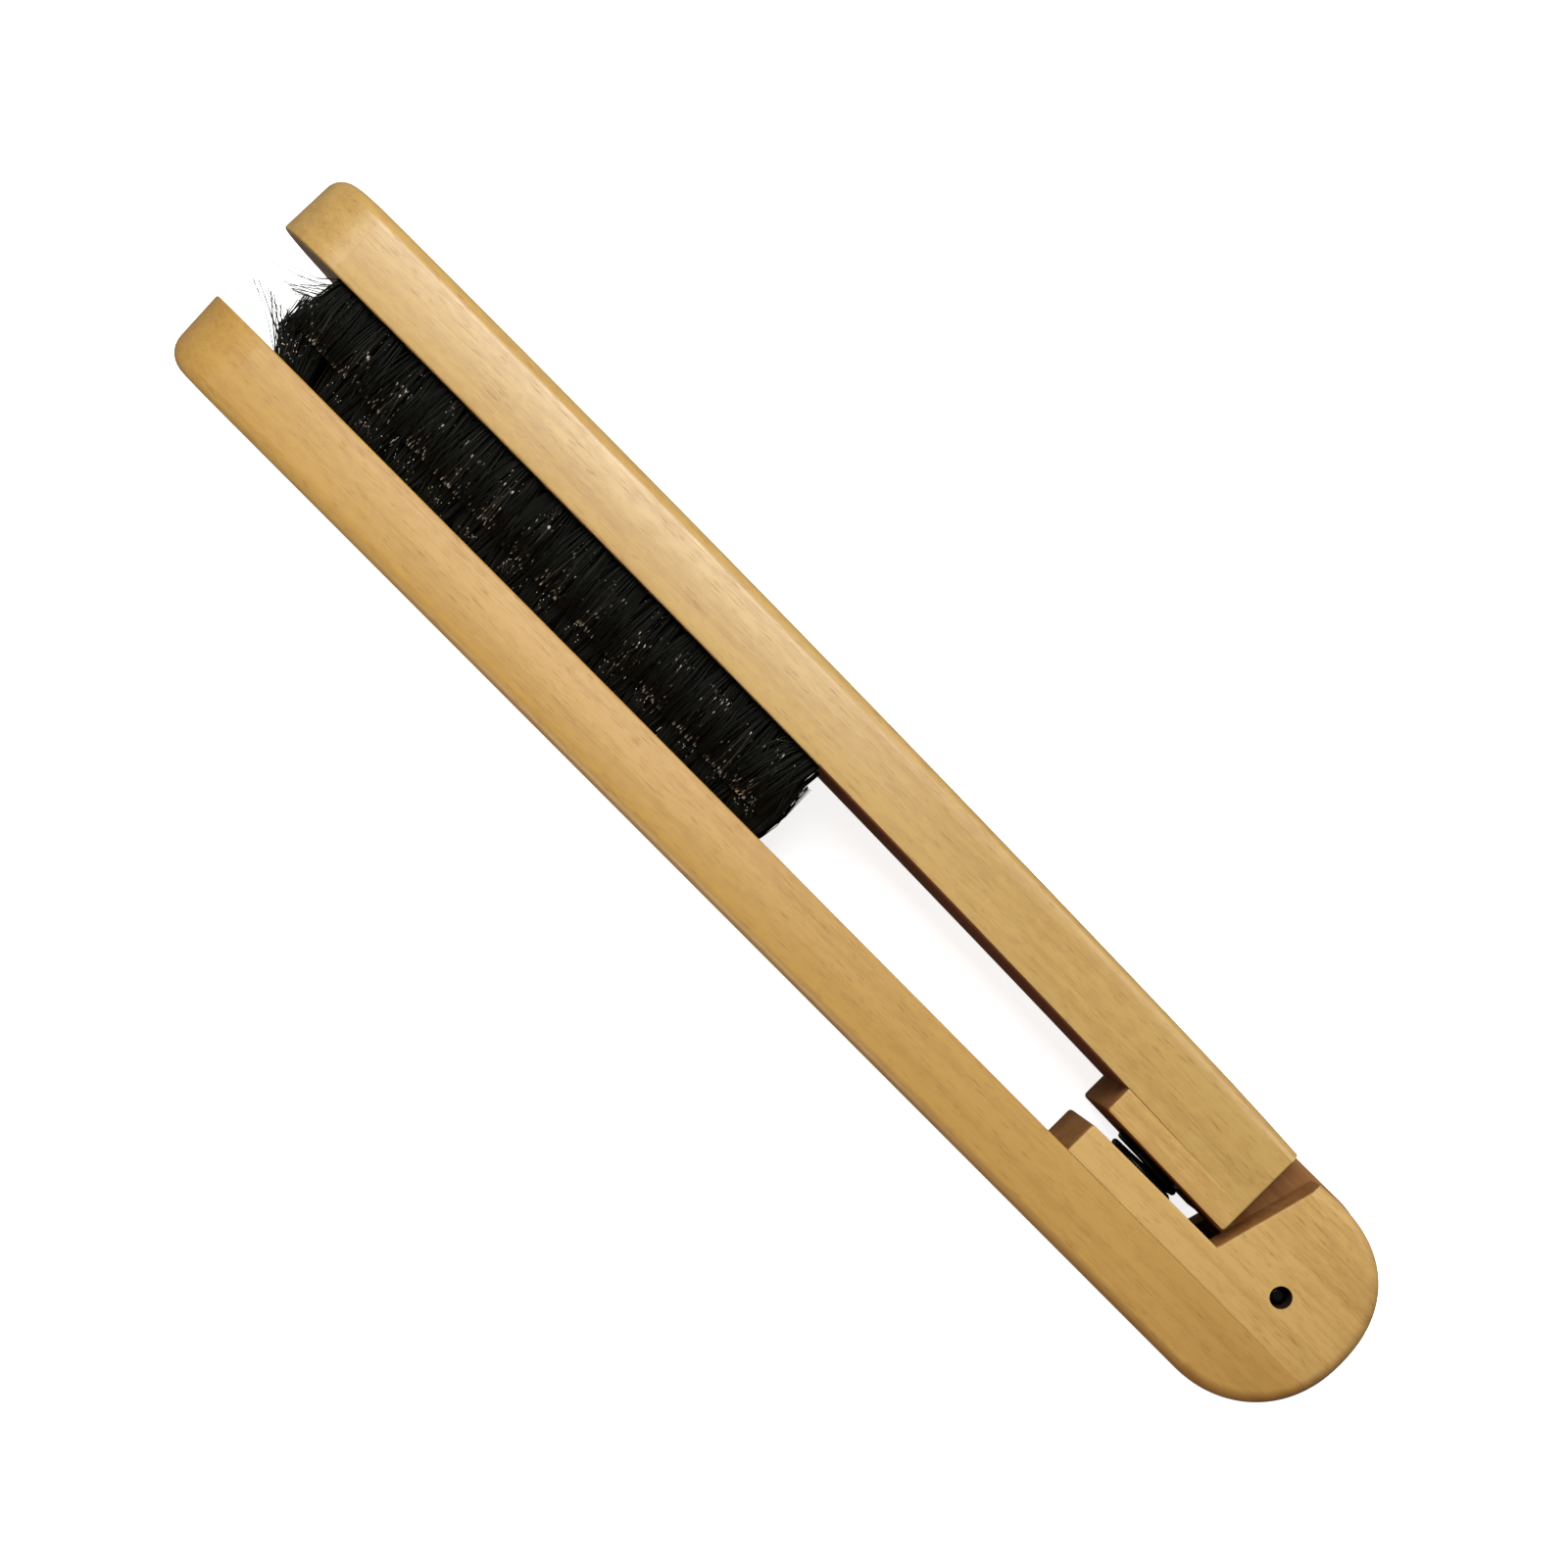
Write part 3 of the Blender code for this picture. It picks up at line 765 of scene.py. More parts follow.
def end_tree(tree, geometry, material):
    """Ends a tree in Realize Instances and Set Material."""
    real = add_node(tree, "GeometryNodeRealizeInstances", None, {"Geometry": geometry})
    coated = add_node(tree, "GeometryNodeSetMaterial", None, {"Geometry": real, "Material": material})
    end = tree.nodes.new("NodeGroupOutput")
    tree.links.new(coated.output, end.inputs["Geometry"])


def run_tree(target, tree, values):
    """Runs a tree on an object with these input values and keeps the result as a plain mesh."""
    modifier = target.modifiers.new(tree.name, "NODES")
    modifier.node_group = tree
    for item in tree.interface.items_tree:
        if item.in_out == "INPUT" and item.name in values:
            modifier[item.identifier] = values[item.name]
    plain_mesh(target)


def hole_tree():
    """Drilled root holes: one upright cylinder on each point."""
    tree, start = new_tree("root_holes", {"Radius": "Float", "Depth": "Float", "Sides": "Int", "Material": "Material"})
    sockets = {"Vertices": start.more("Sides"), "Radius": start.more("Radius"), "Depth": start.more("Depth") * 2.0}
    drill = add_node(tree, "GeometryNodeMeshCylinder", None, sockets)
    laid = {"Points": start, "Instance": drill, "Rotation": (radians(90), 0, 0)}
    drills = add_node(tree, "GeometryNodeInstanceOnPoints", None, laid)
    end_tree(tree, drills, start.more("Material"))
    return tree


def root_holes(name, rows, face, material):
    """A cutter for the root holes of these rows."""
    made = points_object(name, tuft_places(rows, face))
    values = {"Radius": ROOT_HOLE_RADIUS, "Depth": ROOT_HOLE_DEPTH, "Sides": ROOT_HOLE_SIDES,"Material": material}
    run_tree(made, hole_tree(), values)
    return made


def random_value(tree, low, high, seed):
    """A random number for each point."""
    sockets = {2: low, 3: high, "Seed": seed}
    return add_node(tree, "FunctionNodeRandomValue", {"data_type": "FLOAT"}, sockets, output=1)


def named_value(tree, name, kind="FLOAT"):
    """An attribute of the geometry by its name."""
    return add_node(tree, "GeometryNodeInputNamedAttribute", {"data_type": kind}, {"Name": name})


def store(tree, geometry, name, value, kind="FLOAT"):
    """Keeps a value on the geometry's points under a name."""
    sockets = {"Geometry": geometry, "Name": name, "Value": value}
    return add_node(tree, "GeometryNodeStoreNamedAttribute", {"data_type": kind, "domain": "POINT"}, sockets)


def vector(tree, x, y, z):
    """A vector from three numbers."""
    return add_node(tree, "ShaderNodeCombineXYZ", None, {0: x, 1: y, 2: z})


def bristle_tree():
    """Bristles on root points: packed in the hole, fanned out above it, each with its own length and lean."""
    floats = {label: "Float" for label in (*BRISTLE_INPUTS, "Facing")}
    tree, start = new_tree("bristle_tufts", {**floats, "Seed": "Int", "Material": "Material"})
    points = add_node(tree, "GeometryNodeMeshToPoints", None, {"Mesh": start})
    sockets = {"Geometry": points, "Amount": named_value(tree, "hairs", "INT")}
    hairs = add_node(tree, "GeometryNodeDuplicateElements", {"domain": "POINT"}, sockets)
    seed, facing, root_radius = start.more("Seed"), start.more("Facing"), start.more("Root Radius")
    stub = maths(tree, "LESS_THAN", random_value(tree, 0.0, 1.0, seed + 9.0), start.more("Stub Share"))
    across = random_value(tree, -1.0, 1.0, seed) * (1.0 - stub * 0.55)
    deep = random_value(tree, -1.0, 1.0, seed + 1.0) * maths(tree, "SQRT", 1.0 - across * across * 0.4)
    stray = maths(tree, "LESS_THAN", random_value(tree, 0.0, 1.0, seed + 2.0), start.more("Stray Share"))
    stray = stray * named_value(tree, "outermost")
    fan_x = across * start.more("Fan") + named_value(tree, "shift")
    fan_z = deep * start.more("Depth Fan")
    lean_x = random_value(tree, -1.0, 1.0, seed + 3.0) * start.more("Lean") + named_value(tree, "draw")
    lean_x = lean_x - stray * start.more("Stray Reach") * random_value(tree, 0.35, 1.0, seed + 4.0)
    lean_z = named_value(tree, "lift") * random_value(tree, 0.2, 1.8, seed + 5.0)
    pale = random_value(tree, 0.0, 1.0, seed + 6.0) * (1.25 - maths(tree, "ABSOLUTE", across))
    hairs = store(tree, hairs, "tone", maths(tree, "MAXIMUM", pale, stub * 0.84))
    hairs = store(tree, hairs, "fan", vector(tree, fan_x, 0.0, fan_z), "FLOAT_VECTOR")
    hairs = store(tree, hairs, "lean", vector(tree, lean_x, 0.0, lean_z), "FLOAT_VECTOR")
    root = vector(tree, across * root_radius, -(facing * start.more("Sink")), deep * root_radius * 0.7)
    hairs = add_node(tree, "GeometryNodeSetPosition", None, {"Geometry": hairs, "Offset": root})

    cone = {"Vertices": 3, "Side Segments": 3, "Radius Top": 0.8, "Radius Bottom": 1.0, "Depth": 1.0}
    hair = add_node(tree, "GeometryNodeMeshCone", {"fill_type": "NGON"}, cone)
    place = add_node(tree, "ShaderNodeSeparateXYZ", None, {0: add_node(tree, "GeometryNodeInputPosition")})
    height = place.more("Z") ** 1.7
    spaced = {"Geometry": hair, "Position": vector(tree, place, place.more("Y"), height)}
    hair = add_node(tree, "GeometryNodeSetPosition", None, spaced)
    hair = store(tree, hair, "along", height)
    short, long = start.more("Shortest"), start.more("Longest")
    droop = random_value(tree, 0.0, 1.0, seed + 7.0) ** 2.5
    length = named_value(tree, "reach") + start.more("Sink") + long - droop * (short + long)
    length = length * (1.0 - stray * 0.35) * (1.0 - stub * random_value(tree, 0.60, 0.80, seed + 10.0))
    turn = vector(tree, facing * (-pi / 2), 0.0, 0.0)
    thin = start.more("Hair Radius") * random_value(tree, 0.7, 1.2, seed + 8.0) * (1.0 + stray * 0.9)
    laid = {"Points": hairs, "Instance": hair, "Rotation": turn, "Scale": vector(tree, thin, thin, length)}
    tufts = add_node(tree, "GeometryNodeInstanceOnPoints", None, laid)
    tufts = add_node(tree, "GeometryNodeRealizeInstances", None, {"Geometry": tufts})
    along = named_value(tree, "along")
    for name, share in (("fan", 1.0 - (1.0 - along) ** 12.0), ("lean", along**1.5)):
        sockets = {0: named_value(tree, name, "FLOAT_VECTOR"), "Scale": share}
        moved = add_node(tree, "ShaderNodeVectorMath", {"operation": "SCALE"}, sockets)
        tufts = add_node(tree, "GeometryNodeSetPosition", None, {"Geometry": tufts, "Offset": moved})
    tufts = add_node(tree, "GeometryNodeSetShadeSmooth", None, {"Geometry": tufts, "Shade Smooth": True})
    end_tree(tree, tufts, start.more("Material"))
    return tree


def spring_tree():
    """A coil spring between two heights: its first and last turns are closed up."""
    tree, start = new_tree(
        "coil_spring",
        {
            "Turns": "Int", "Steps per Turn": "Int", "Coil Radius": "Float", "Wire Radius": "Float",
            "End Pitch": "Float", "Low": "Float", "Rise": "Float", "Middle": "Vector", "Material": "Material",
        },
    )
    turns, steps = start.more("Turns"), start.more("Steps per Turn")
    line = add_node(tree, "GeometryNodeMeshLine", {"mode": "OFFSET"}, {"Count": turns * steps + 1.0})
    turn = add_node(tree, "GeometryNodeInputIndex") / steps
    closed = maths(tree, "MINIMUM", turn, 1.0) + maths(tree, "MAXIMUM", turn - (turns - 1.0), 0.0)
    end_pitch = start.more("End Pitch")
    inner_pitch = (start.more("Rise") - end_pitch * 2.0) / (turns - 2.0)
    height = start.more("Low") + closed * end_pitch + (turn - closed) * inner_pitch
    angle = turn * (2 * pi)
    radius = start.more("Coil Radius")
    place = vector(tree, maths(tree, "COSINE", angle) * radius, height, maths(tree, "SINE", angle) * radius)
    place = add_node(tree, "ShaderNodeVectorMath", {"operation": "ADD"}, {0: place, 1: start.more("Middle")})
    coil = add_node(tree, "GeometryNodeSetPosition", None, {"Geometry": line, "Position": place})
    coil = add_node(tree, "GeometryNodeMeshToCurve", None, {"Mesh": coil})
    section = add_node(
        tree, "GeometryNodeCurvePrimitiveCircle", {"mode": "RADIUS"},
        {"Resolution": WIRE_SIDES,"Radius": start.more("Wire Radius")},
    )
    wire = add_node(
        tree, "GeometryNodeCurveToMesh", None, {"Curve": coil, "Profile Curve": section, "Fill Caps": True}
    )
    end_tree(tree, wire, start.more("Material"))
    return tree


def shoulder_direction():
    """Direction of the straight edge from the tongue's shoulder down to the barrel, which it touches."""
    dx, dy = PIN_X - TONGUE_SHOULDER[0], PIN_Y - TONGUE_SHOULDER[1]
    angle = atan2(dy, dx) - asin(BARREL_RADIUS / hypot(dx, dy))
    return cos(angle), sin(angle)


def corner_arc(centre, radius, start, end, steps=CORNER_STEPS):
    """Points on an arc."""
    return [(centre[0] + radius * cos(a), centre[1] + radius * sin(a)) for a in spread(start, end, steps)]


def arm_rings(outline, outer, tip_radius, face, side):
    """Rings of an arm: its body's outline at each height, closed by its half-round tip."""
    half = []
    for z in half_levels():
        body = stand_back(outline, z, inf)
        tip = tip_points(z, outer, tip_radius_at(z, tip_radius), face, side)
        half.append(raised(body + (tip if side > 0 else tip[::-1]), z))
    return both_halves(half)


def lower_body_outline(radius):
    """The lower arm from where its tip starts: outer face, round end, glue line and inner face."""
    start_x = TIP_X + HALF
    glue = angle_at_height(fork_end, lower_face(END_X), -pi / 2, 0)
    outline = edge([(start_x, LOWER_OUTER_Y)], radius)
    outline += edge([fork_end(a) for a in spread(-pi / 2, glue, END_STEPS)][:-1], radius)
    corner_x = fork_end(glue)[0]
    outline += edge([(corner_x, lower_face(corner_x))], GLUE_LINE)
    outline += edge([(STEP_X, lower_face(STEP_X))], EASE)
    outline += edge([(start_x, lower_face(start_x))], 0.0)
    return outline


def make_lower_arm():
    """The straight lower arm."""
    look = bpy.context.scene.comb_wood
    material = wood("lower_arm_wood", tuple(look.lower_colour), look.lower_gloss, (0.31, 0.12, 0.05))
    outline = lower_body_outline(look.edge_radius)
    rings = arm_rings(outline, lower_outer, look.lower_tip_radius, lower_face, -1)
    # The lower arm's outer round edges get painted shade from these rim values
    made = loft("lower_arm_wood", rings, material, painted_rim_shade)
    bore(made, root_holes("lower_drills", LOWER_ROWS, lower_face, material))
    return made


def painted_rim_shade(point):
    """How strongly painted shade darkens the rounded edges next to the lower arm's outer face, 0 to 1."""
    x, y, z = point
    radius = bpy.context.scene.comb_wood.edge_radius
    near_side = max(0.0, 1 - min(z, DEPTH - z) / radius)
    low = max(0.0, min(1.0, (LOWER_OUTER_Y + 0.8 * radius - y) / (0.8 * radius)))
    across, along = (y - END_CENTRE_Y) / (END_CENTRE_Y - LOWER_OUTER_Y), (x - END_CENTRE_X) / (END_X - END_CENTRE_X)
    round_end = max(0.0, min(1.0, (hypot(across, max(0.0, along)) - 0.86) * 7)) if x > END_CENTRE_X else 0.0
    on_rim = max(low, round_end * max(0.0, min(1.0, 0.8 - across)))
    growing = max(0.04, min(1.0, 0.2 + 0.85 * (x - STEP_X / 2) / (END_CENTRE_X - STEP_X / 2)))
    return on_rim * growing * (0.35 + 0.65 * near_side)


def in_slot(centre):
    """Whether a place lies between the fork's cheeks."""
    return centre.x > CHEEK_END_X - CORNER and abs(centre.z - HALF) < HALF - CHEEK_THICKNESS + CHEEK_GAP / 2


def block_shade(normal, centre):
    """How much painted shade a face of a block gets: end grain (partly its own darker colour), faces towards the gap,
    and the walls of the slot.
    """
    if in_slot(centre):
        return SLOT_SHADE
    return END_GRAIN_SHADE if normal.x < -0.7 else CHEEK_END_SHADE if normal.x < -0.3 else 0.0


def tongue_shade(normal, centre):
    """How much painted shade a face with the tongue on it gets: the tongue between the cheeks, end grain (partly its
    own darker colour) and faces towards the gap.
    """
    if centre.x > CHEEK_END_X and abs(centre.z - HALF) < HALF - CHEEK_THICKNESS:
        return TONGUE_SHADE
    if normal.x < -0.7 and centre.x > STEP_X - CORNER:
        return END_GRAIN_SHADE
    if normal.y < -0.7:
        return GAP_SHADE if centre.x > 0.0 else TIP_GAP_SHADE
    return 0.0


def fork_outlines(radius):
    """The fork's outline at its cheeks, and in the slot between them, which it shares up to the slot's ends."""
    glue = angle_at_height(fork_end, lower_face(END_X), -pi / 2, 0)
    direction = shoulder_direction()
    start = (TONGUE_SHOULDER[0] + SLOT_CLEARANCE * direction[1], TONGUE_SHOULDER[1] - SLOT_CLEARANCE * direction[0])
    slant = direction[0] / direction[1]
    top_x = start[0] + slant * (BLOCK_FACE_Y - start[1])
    foot_x = start[0] + slant * (lower_face(END_X) - start[1])
    shared_start = edge([(STEP_X, lower_face(STEP_X)), (foot_x, lower_face(foot_x))], GLUE_LINE)
    cheek = [fork_end(a) for a in spread(glue, pi / 2, END_STEPS)]
    cheek_edges = edge(cheek, radius, SLOT_EASE) + edge([FORK_TOP], EASE)
    wall = fillers(len(cheek_edges) - 1) + edge([(top_x, BLOCK_FACE_Y)], 0.0)
    step = corner_arc((STEP_X + CORNER, BLOCK_FACE_Y - CORNER), CORNER, pi / 2, pi)
    shared_end = edge([(FORK_CORNER_X, BLOCK_FACE_Y)], EASE) + edge(step, EASE)
    return shared_start + cheek_edges + shared_end, shared_start + wall + shared_end


def make_fork():
    """The block glued to the lower arm, with two cheeks and the slot between them."""
    look = bpy.context.scene.comb_wood
    material = wood("fork_block_wood", tuple(look.block_colour), look.lower_gloss, (0.77, 0.43, 0.21))
    rings = stepped_rings(*fork_outlines(look.edge_radius), CHEEK_THICKNESS, -1)
    # The fork's lower round edges get painted shade from the rim values, and its faces from the shade values
    made = loft("fork_block_wood", rings, material, painted_rim_shade, block_shade)
    bore(made, pin_hole("fork_drill", material), pocket("lower_pocket", POCKET_FLOOR_Y, CUT_REACH, material))
    return made


def upper_outlines(radius):
    """The upper arm's outline at its cheek ends, and in the tongue, from where the tip starts."""
    start_x = TIP_X + HALF
    stations = spread(start_x, STEP_X, BOW_STEPS)
    glue = angle_at_height(tongue_end, upper_face(CHEEK_END_X), 0, pi / 2)
    tongue = [tongue_end(a) for a in spread(glue, pi / 2, END_STEPS)]
    low, high = [(CHEEK_END_X, surface(CHEEK_END_X)) for surface in (upper_face, upper_outer)]
    shared_start = edge([(x, upper_face(x)) for x in stations[:-1]], EASE)
    shared_start += edge([(STEP_X, upper_face(STEP_X))], GLUE_LINE)
    back = [(x, upper_outer(x)) for x in reversed(spread(start_x, CHEEK_END_X, BOW_STEPS)[:-1])]
    shared_end = edge([high, *back], radius)
    shared_end[-1] = (*back[-1], 0.0, 0.0)
    sides = shared_start + edge([low], EASE) + fillers(len(tongue)) + shared_end
    tongue_edges = edge(tongue[:-1], 0.0, SLOT_EASE) + edge(tongue[-1:], 0.0)
    return sides, shared_start + edge([low], 0.0) + tongue_edges + shared_end


def make_upper_arm():
    """The bowed upper arm with the upper part of the tongue."""
    look = bpy.context.scene.comb_wood
    material = wood("upper_arm_wood", tuple(look.upper_colour), look.upper_gloss, (0.05, 0.66, 0.48))
    sides, middle = upper_outlines(look.edge_radius)
    step = CHEEK_THICKNESS + CHEEK_GAP
    half = []
    for z in half_levels(step, 1):
        tip = tip_points(z, upper_outer, tip_radius_at(z, look.upper_tip_radius), upper_face, 1)
        for outline in [sides] * (z <= step) + [middle] * (z >= step):
            half.append(raised(stand_back(outline, z, abs(z - step)) + tip, z))
    made = loft("upper_arm_wood", both_halves(half), material, None, tongue_shade)
    bore(made, root_holes("upper_drills", UPPER_ROWS, upper_face, material))
    return made


def spring_block_outlines():
    """The spring block's outline at its cheek ends, and in the tongue, which has the pin's barrel."""
    direction = shoulder_direction()
    first = atan2(-direction[0], direction[1])
    last = HEEL_ANGLE - pi / 2
    barrel = corner_arc((PIN_X, PIN_Y), BARREL_RADIUS, first, last, 20)
    run = tongue_end(0)[0] - barrel[-1][0]
    start = angle_at_height(tongue_end, barrel[-1][1] + run * tan(HEEL_ANGLE), -pi / 2, pi / 2)
    top = angle_at_height(tongue_end, upper_face(CHEEK_END_X), 0, pi / 2)
    tongue = [TONGUE_SHOULDER, *barrel, *(tongue_end(a) for a in spread(start, top, 12))]
    low_y = SPRING_BLOCK_Y[1]
    corner = corner_arc((CHEEK_END_X - CORNER, low_y + CORNER), CORNER, -pi / 2, 0)
    glue = (CHEEK_END_X, upper_face(CHEEK_END_X))
    step = corner_arc((STEP_X + CORNER, SPRING_BLOCK_Y[0] + CORNER), CORNER, pi, 3 * pi / 2)
    stations = reversed(spread(STEP_X, CHEEK_END_X, 6)[:-1])
    shared_end = edge([glue], GLUE_LINE) + edge([(x, upper_face(x)) for x in stations], GLUE_LINE)
    shared_end[-1] = (*shared_end[-1][:2], EASE, 0.0)
    shared_start = edge(step, EASE)
    sides = shared_start + edge(corner, EASE) + fillers(len(tongue) + 1 - len(corner)) + shared_end
    tongue_edges = edge(tongue[:-1], 0.0, SLOT_EASE) + edge(tongue[-1:], 0.0)
    return sides, shared_start + edge(corner[:1], 0.0) + tongue_edges + shared_end


def make_spring_block():
    """The block glued under the upper arm, with the lower part of the tongue."""
    look = bpy.context.scene.comb_wood
    material = wood("spring_block_wood", tuple(look.block_colour), look.lower_gloss, (0.52, 0.09, 0.83))
    rings = stepped_rings(*spring_block_outlines(), CHEEK_THICKNESS + CHEEK_GAP, 1)
    made = loft("spring_block_wood", rings, material, None, tongue_shade)
    bore(made, pin_hole("tongue_drill", material), pocket("upper_pocket", -CUT_REACH, POCKET_ROOF_Y, material))
    return made


def make_pin():
    """The steel pin, recessed in its hole, its ends slightly domed."""
    profile = [(PIN_RECESS + PIN_DOME * up, PIN_RADIUS * wide) for up, wide in PIN_END]
    profile += [(DEPTH - PIN_RECESS - PIN_DOME * up, PIN_RADIUS * wide) for up, wide in reversed(PIN_END)]
    return turned("steel_pin", profile, (PIN_X, PIN_Y, 0.0), "Z", PIN_SIDES, shared_steel())


def shared_steel():
    """The blackened steel finish, made once."""
    return bpy.data.materials.get("blackened_steel_finish") or steel_material()


def make_spring():
    """The coil spring between the two pockets."""
    sizes = bpy.context.scene.comb_spring
    made = points_object("coil_spring", [(0, 0, 0)])
    values = {
        "Turns": sizes.turns,
        "Steps per Turn": COIL_STEPS,
        "Coil Radius": (SPRING_HIGH.x - SPRING_LOW.x) / 2 - sizes.wire_radius,
        "Wire Radius": sizes.wire_radius,
        "End Pitch": sizes.end_pitch,
        "Low": SPRING_LOW.y + sizes.wire_radius,
        "Rise": SPRING_HIGH.y - SPRING_LOW.y - 2 * sizes.wire_radius,
        "Middle": ((SPRING_LOW.x + SPRING_HIGH.x) / 2, 0.0, HALF),
        "Material": shared_steel(),
    }
    run_tree(made, spring_tree(), values)
    made.data.shade_smooth()
    return made


def point_values(made, name, kind, values):
    """Gives each point of a mesh its own value under a name."""
    made.data.attributes.new(name, kind, "POINT").data.foreach_set("value", values)


def make_tufts(name, rows, face, other_face, facing, lift, seed, material):
    """All bristles of one arm. The rows next to the side faces are denser, and their tips can lift outwards."""
    look = bpy.context.scene.comb_bristles
    places = tuft_places(rows, face)
    made = points_object(name, places)
    lowest, highest = min(z for _, _, z in places), max(z for _, _, z in places)
    outer = [(z > highest - MERGE) - (z < lowest + MERGE) for _, _, z in places]
    slope = tan(TIP_CLEAR_ANGLE)
    point_values(made, "reach", "FLOAT", [abs(other_face(x) - y) - (PIN_X - x) * slope for x, y, _ in places])
    first, last = min(x for x, _, _ in places) + TUFT_PITCH, max(x for x, _, _ in places) - TUFT_PITCH
    counts = [look.outer_hairs if side else look.inner_hairs for side in outer]
    full = [look.end_fullness if x < first or x > last else 1.0 for x, _, _ in places]
    point_values(made, "hairs", "INT", [round(count * more) for count, more in zip(counts, full)])
    point_values(made, "lift", "FLOAT", [side * lift for side in outer])
    point_values(made, "outermost", "FLOAT", [float(x < first) for x, _, _ in places])
    ends = [(x > last) - (x < first) for x, _, _ in places]
    end_reach, end_draw = (look.lower_end_reach, 0.0) if facing > 0 else (look.end_reach, look.end_draw)
    shifts = {-1: -end_reach, 0: 0.0, 1: -end_draw}
    draws = {-1: look.end_draw / 2, 0: 0.0, 1: -look.end_draw}
    point_values(made, "shift", "FLOAT", [shifts[end] for end in ends])
    point_values(made, "draw", "FLOAT", [draws[end] for end in ends])
    values = {label: getattr(look, setting) for label, setting in BRISTLE_INPUTS.items()}
    values.update({"Facing": float(facing), "Seed": seed, "Material": material})
    run_tree(made, bpy.data.node_groups.get("bristle_tufts") or bristle_tree(), values)
    return made


def area_light(name, place, target, size, power):
    """A square area light that looks at a target."""
    light = bpy.data.lights.new(name, "AREA")
    light.size = size
    light.energy = power
    made = placed(name, light)
    made.location = place
    made.rotation_euler = (Vector(target) - Vector(place)).to_track_quat("-Z", "Y").to_euler()


def make_floor():
    """The pale floor under the comb."""
    look = bpy.context.scene.comb_stage
    made, tree, shader = new_material("pale_floor")
    fill(tree, shader, {
        "Base Color": (*look.floor_colour, 1.0), "Roughness": 0.9, "Specular IOR Level": 0.1,
        "Emission Color": WHITE, "Emission Strength": look.floor_glow,
    })
    bm = bmesh.new()
    corners = ((-1, -1), (1, -1), (1, 1), (-1, 1))
    bm.faces.new([bm.verts.new((x * FLOOR_REACH, y * FLOOR_REACH, 0.0)) for x, y in corners])
    floor = finished("floor", bm, made)
    floor.visible_diffuse = False
    floor.visible_glossy = False


def make_backdrop():
    """A white dome far around the comb, which only shows behind it and lights nothing."""
    made, tree, shader = new_material("white_backdrop")
    glow = {"Emission Color": WHITE, "Emission Strength": 1.0}
    fill(tree, shader, {"Base Color": (0.0, 0.0, 0.0, 1.0), "Specular IOR Level": 0.0, **glow})
    made.cycles.emission_sampling = "NONE"
    bm = bmesh.new()
    bmesh.ops.create_icosphere(bm, subdivisions=3, radius=BACKDROP_RADIUS)
    backdrop = finished("backdrop", bm, made)
    for ray in ("diffuse", "glossy", "transmission", "shadow"):
        setattr(backdrop, f"visible_{ray}", False)


def make_camera():
    """The camera above the comb."""
    data = bpy.data.cameras.new("camera")
    data.lens = CAMERA_LENS
    data.shift_y = CAMERA_SHIFT_Y
    data.clip_start = 0.01
    made = placed("camera", data)
    made.rotation_mode = "YXZ"
    made.location = CAMERA_PLACE
    made.rotation_euler = CAMERA_TURN
    bpy.context.scene.camera = made


class COMB_OT_lower_arm(Operator):
    """Build the lower arm"""

    bl_idname = "comb.lower_arm"
    bl_label = "Lower Arm"

    def execute(self, context):
        made = make_lower_arm()
        sharpen(made)
        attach(made, "lower")
        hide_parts("lower_arm")
        return {"FINISHED"}


class COMB_OT_fork_block(Operator):
    """Build the fork's block with its two cheeks"""

    bl_idname = "comb.fork_block"
    bl_label = "Fork Block"

    def execute(self, context):
        made = make_fork()
        sharpen(made)
        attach(made, "lower")
        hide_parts("fork_block")
        return {"FINISHED"}


class COMB_OT_upper_arm(Operator):
    """Build the upper arm with the tongue"""

    bl_idname = "comb.upper_arm"
    bl_label = "Upper Arm"

    def execute(self, context):
        made = make_upper_arm()
        sharpen(made)
        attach(made, "upper")
        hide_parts("upper_arm")
        return {"FINISHED"}


class COMB_OT_spring_block(Operator):
    """Build the spring's block under the upper arm"""

    bl_idname = "comb.spring_block"
    bl_label = "Spring Block"

    def execute(self, context):
        made = make_spring_block()
        sharpen(made)
        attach(made, "upper")
        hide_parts("spring_block")
        return {"FINISHED"}


class COMB_OT_hinge_pin(Operator):
    """Build the steel pin"""

    bl_idname = "comb.hinge_pin"
    bl_label = "Hinge Pin"

    def execute(self, context):
        made = make_pin()
        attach(made, "lower")
        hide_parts("hinge_pin")
        return {"FINISHED"}


class COMB_OT_spring(Operator):
    """Build the coil spring, which stretches between the two blocks"""

    bl_idname = "comb.spring"
    bl_label = "Coil Spring"

    def execute(self, context):
        made = make_spring()
        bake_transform(made)
        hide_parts("spring")
        return {"FINISHED"}


class COMB_OT_bristles(Operator):
    """Build the bristle tufts of both arms"""

    bl_idname = "comb.bristles"
    bl_label = "Bristles"

    def execute(self, context):
        look = context.scene.comb_bristles
        material = bristle_material()
        upper = make_tufts("upper_tufts", UPPER_ROWS, upper_face, lower_face, -1, 0.0, look.seed, material)
        lower = make_tufts("lower_tufts", LOWER_ROWS, lower_face, upper_face, 1, look.lift, look.seed + 20, material)
        for made, body, rows in ((upper, "upper", UPPER_ROWS), (lower, "lower", LOWER_ROWS)):
            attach(made, body)
            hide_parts(*rows)
        return {"FINISHED"}


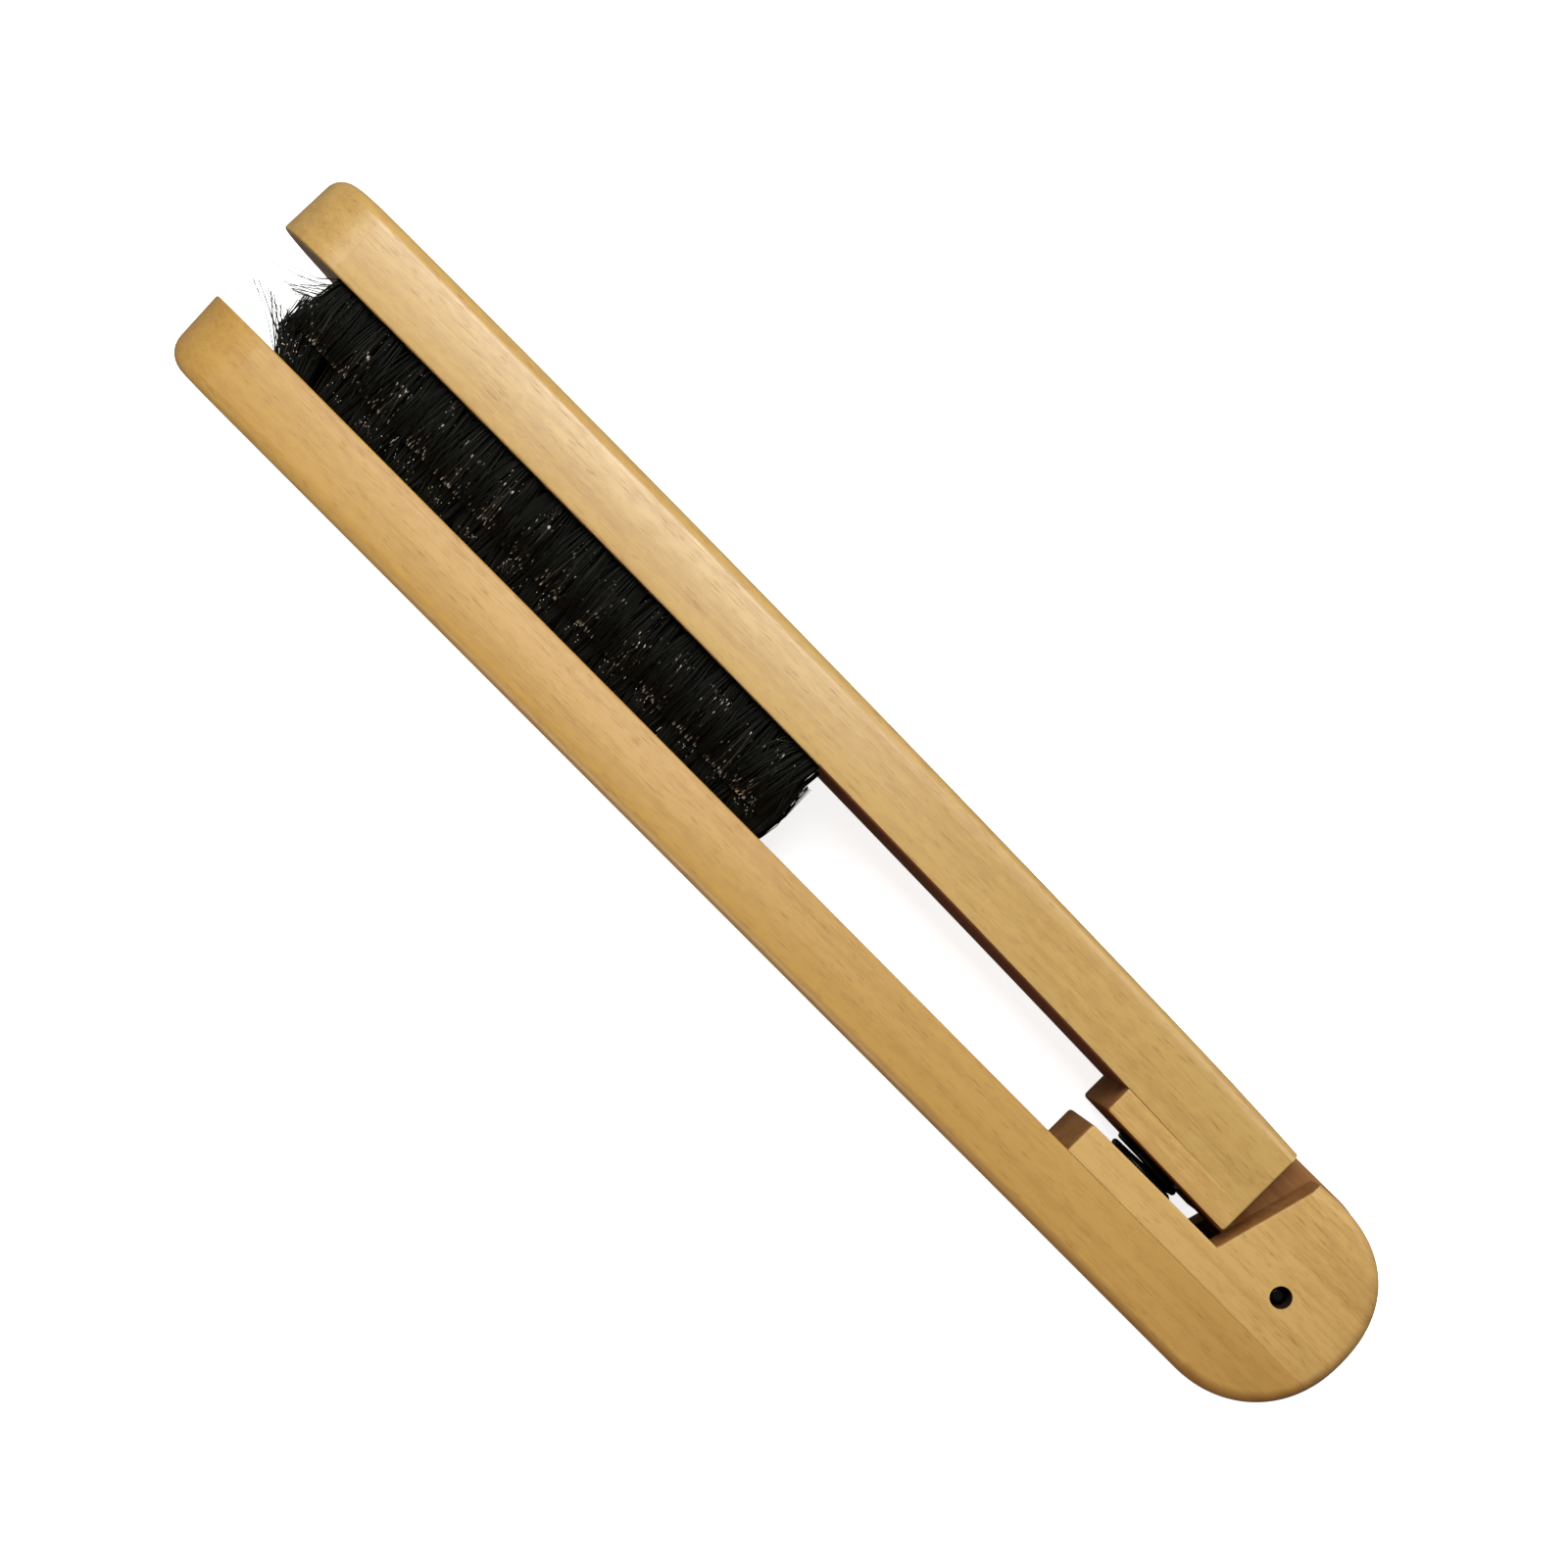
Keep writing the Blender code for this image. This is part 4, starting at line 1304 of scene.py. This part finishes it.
class COMB_OT_stage(Operator):
    """Set up the floor, the backdrop, the camera and the lights"""

    bl_idname = "comb.stage"
    bl_label = "Stage"

    def execute(self, context):
        look = context.scene.comb_stage
        make_floor()
        make_backdrop()
        make_camera()
        area_light("key", (-0.178, 0.205, 0.60), (-0.178, 0.205, 0.0), 0.30, look.key_power)
        area_light("side", (-0.478, 0.205, 0.60), (-0.478, 0.205, 0.0), 0.30, look.side_power)
        area_light("fill", (0.20, 0.60, 0.40), (0.0, 0.0, 0.02), 0.60, look.fill_power)
        area_light("low", (-0.05, -0.60, 0.12), (0.0, 0.0, 0.02), 0.30, look.low_power)
        world = context.scene.world or bpy.data.worlds.new("surroundings")
        context.scene.world = world
        world.use_nodes = True
        tree = world.node_tree
        fill(tree, tree.nodes["Background"], {"Color": WHITE, "Strength": look.world})
        context.scene.view_settings.view_transform = "Standard"
        return {"FINISHED"}


class COMB_PT_panel(bpy.types.Panel):
    """Sizes, colours and steps of the comb"""

    bl_idname = "COMB_PT_panel"
    bl_label = "Hair Straightening Comb"
    bl_space_type = "VIEW_3D"
    bl_region_type = "UI"
    bl_category = "Comb"

    def draw(self, context):
        for group, operators in PANEL_ROWS:
            settings = getattr(context.scene, group)
            box = self.layout.box()
            for name in settings.bl_rna.properties.keys():
                if name not in ("rna_type", "name"):
                    box.prop(settings, name)
            for operator in operators:
                box.operator(operator.bl_idname)


GROUPS = {
    "comb_wood": CombWood,
    "comb_bristles": CombBristles,
    "comb_spring": CombSpring,
    "comb_stage": CombStage,
}
PANEL_ROWS = (
    ("comb_wood", (COMB_OT_lower_arm, COMB_OT_fork_block, COMB_OT_upper_arm, COMB_OT_spring_block)),
    ("comb_spring", (COMB_OT_hinge_pin, COMB_OT_spring)),
    ("comb_bristles", (COMB_OT_bristles,)),
    ("comb_stage", (COMB_OT_stage,)),
)
CLASSES = (*GROUPS.values(), *(operator for _, operators in PANEL_ROWS for operator in operators), COMB_PT_panel)


def register():
    for item in CLASSES:
        bpy.utils.register_class(item)
    for name, group in GROUPS.items():
        setattr(bpy.types.Scene, name, PointerProperty(type=group))


def unregister():
    for name in GROUPS:
        delattr(bpy.types.Scene, name)
    for item in reversed(CLASSES):
        bpy.utils.unregister_class(item)


def main():
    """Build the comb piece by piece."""
    register()
    for _, operators in PANEL_ROWS:
        for operator in operators:
            group, name = operator.bl_idname.split(".")
            getattr(getattr(bpy.ops, group), name)()


if __name__ == "__main__":
    main()
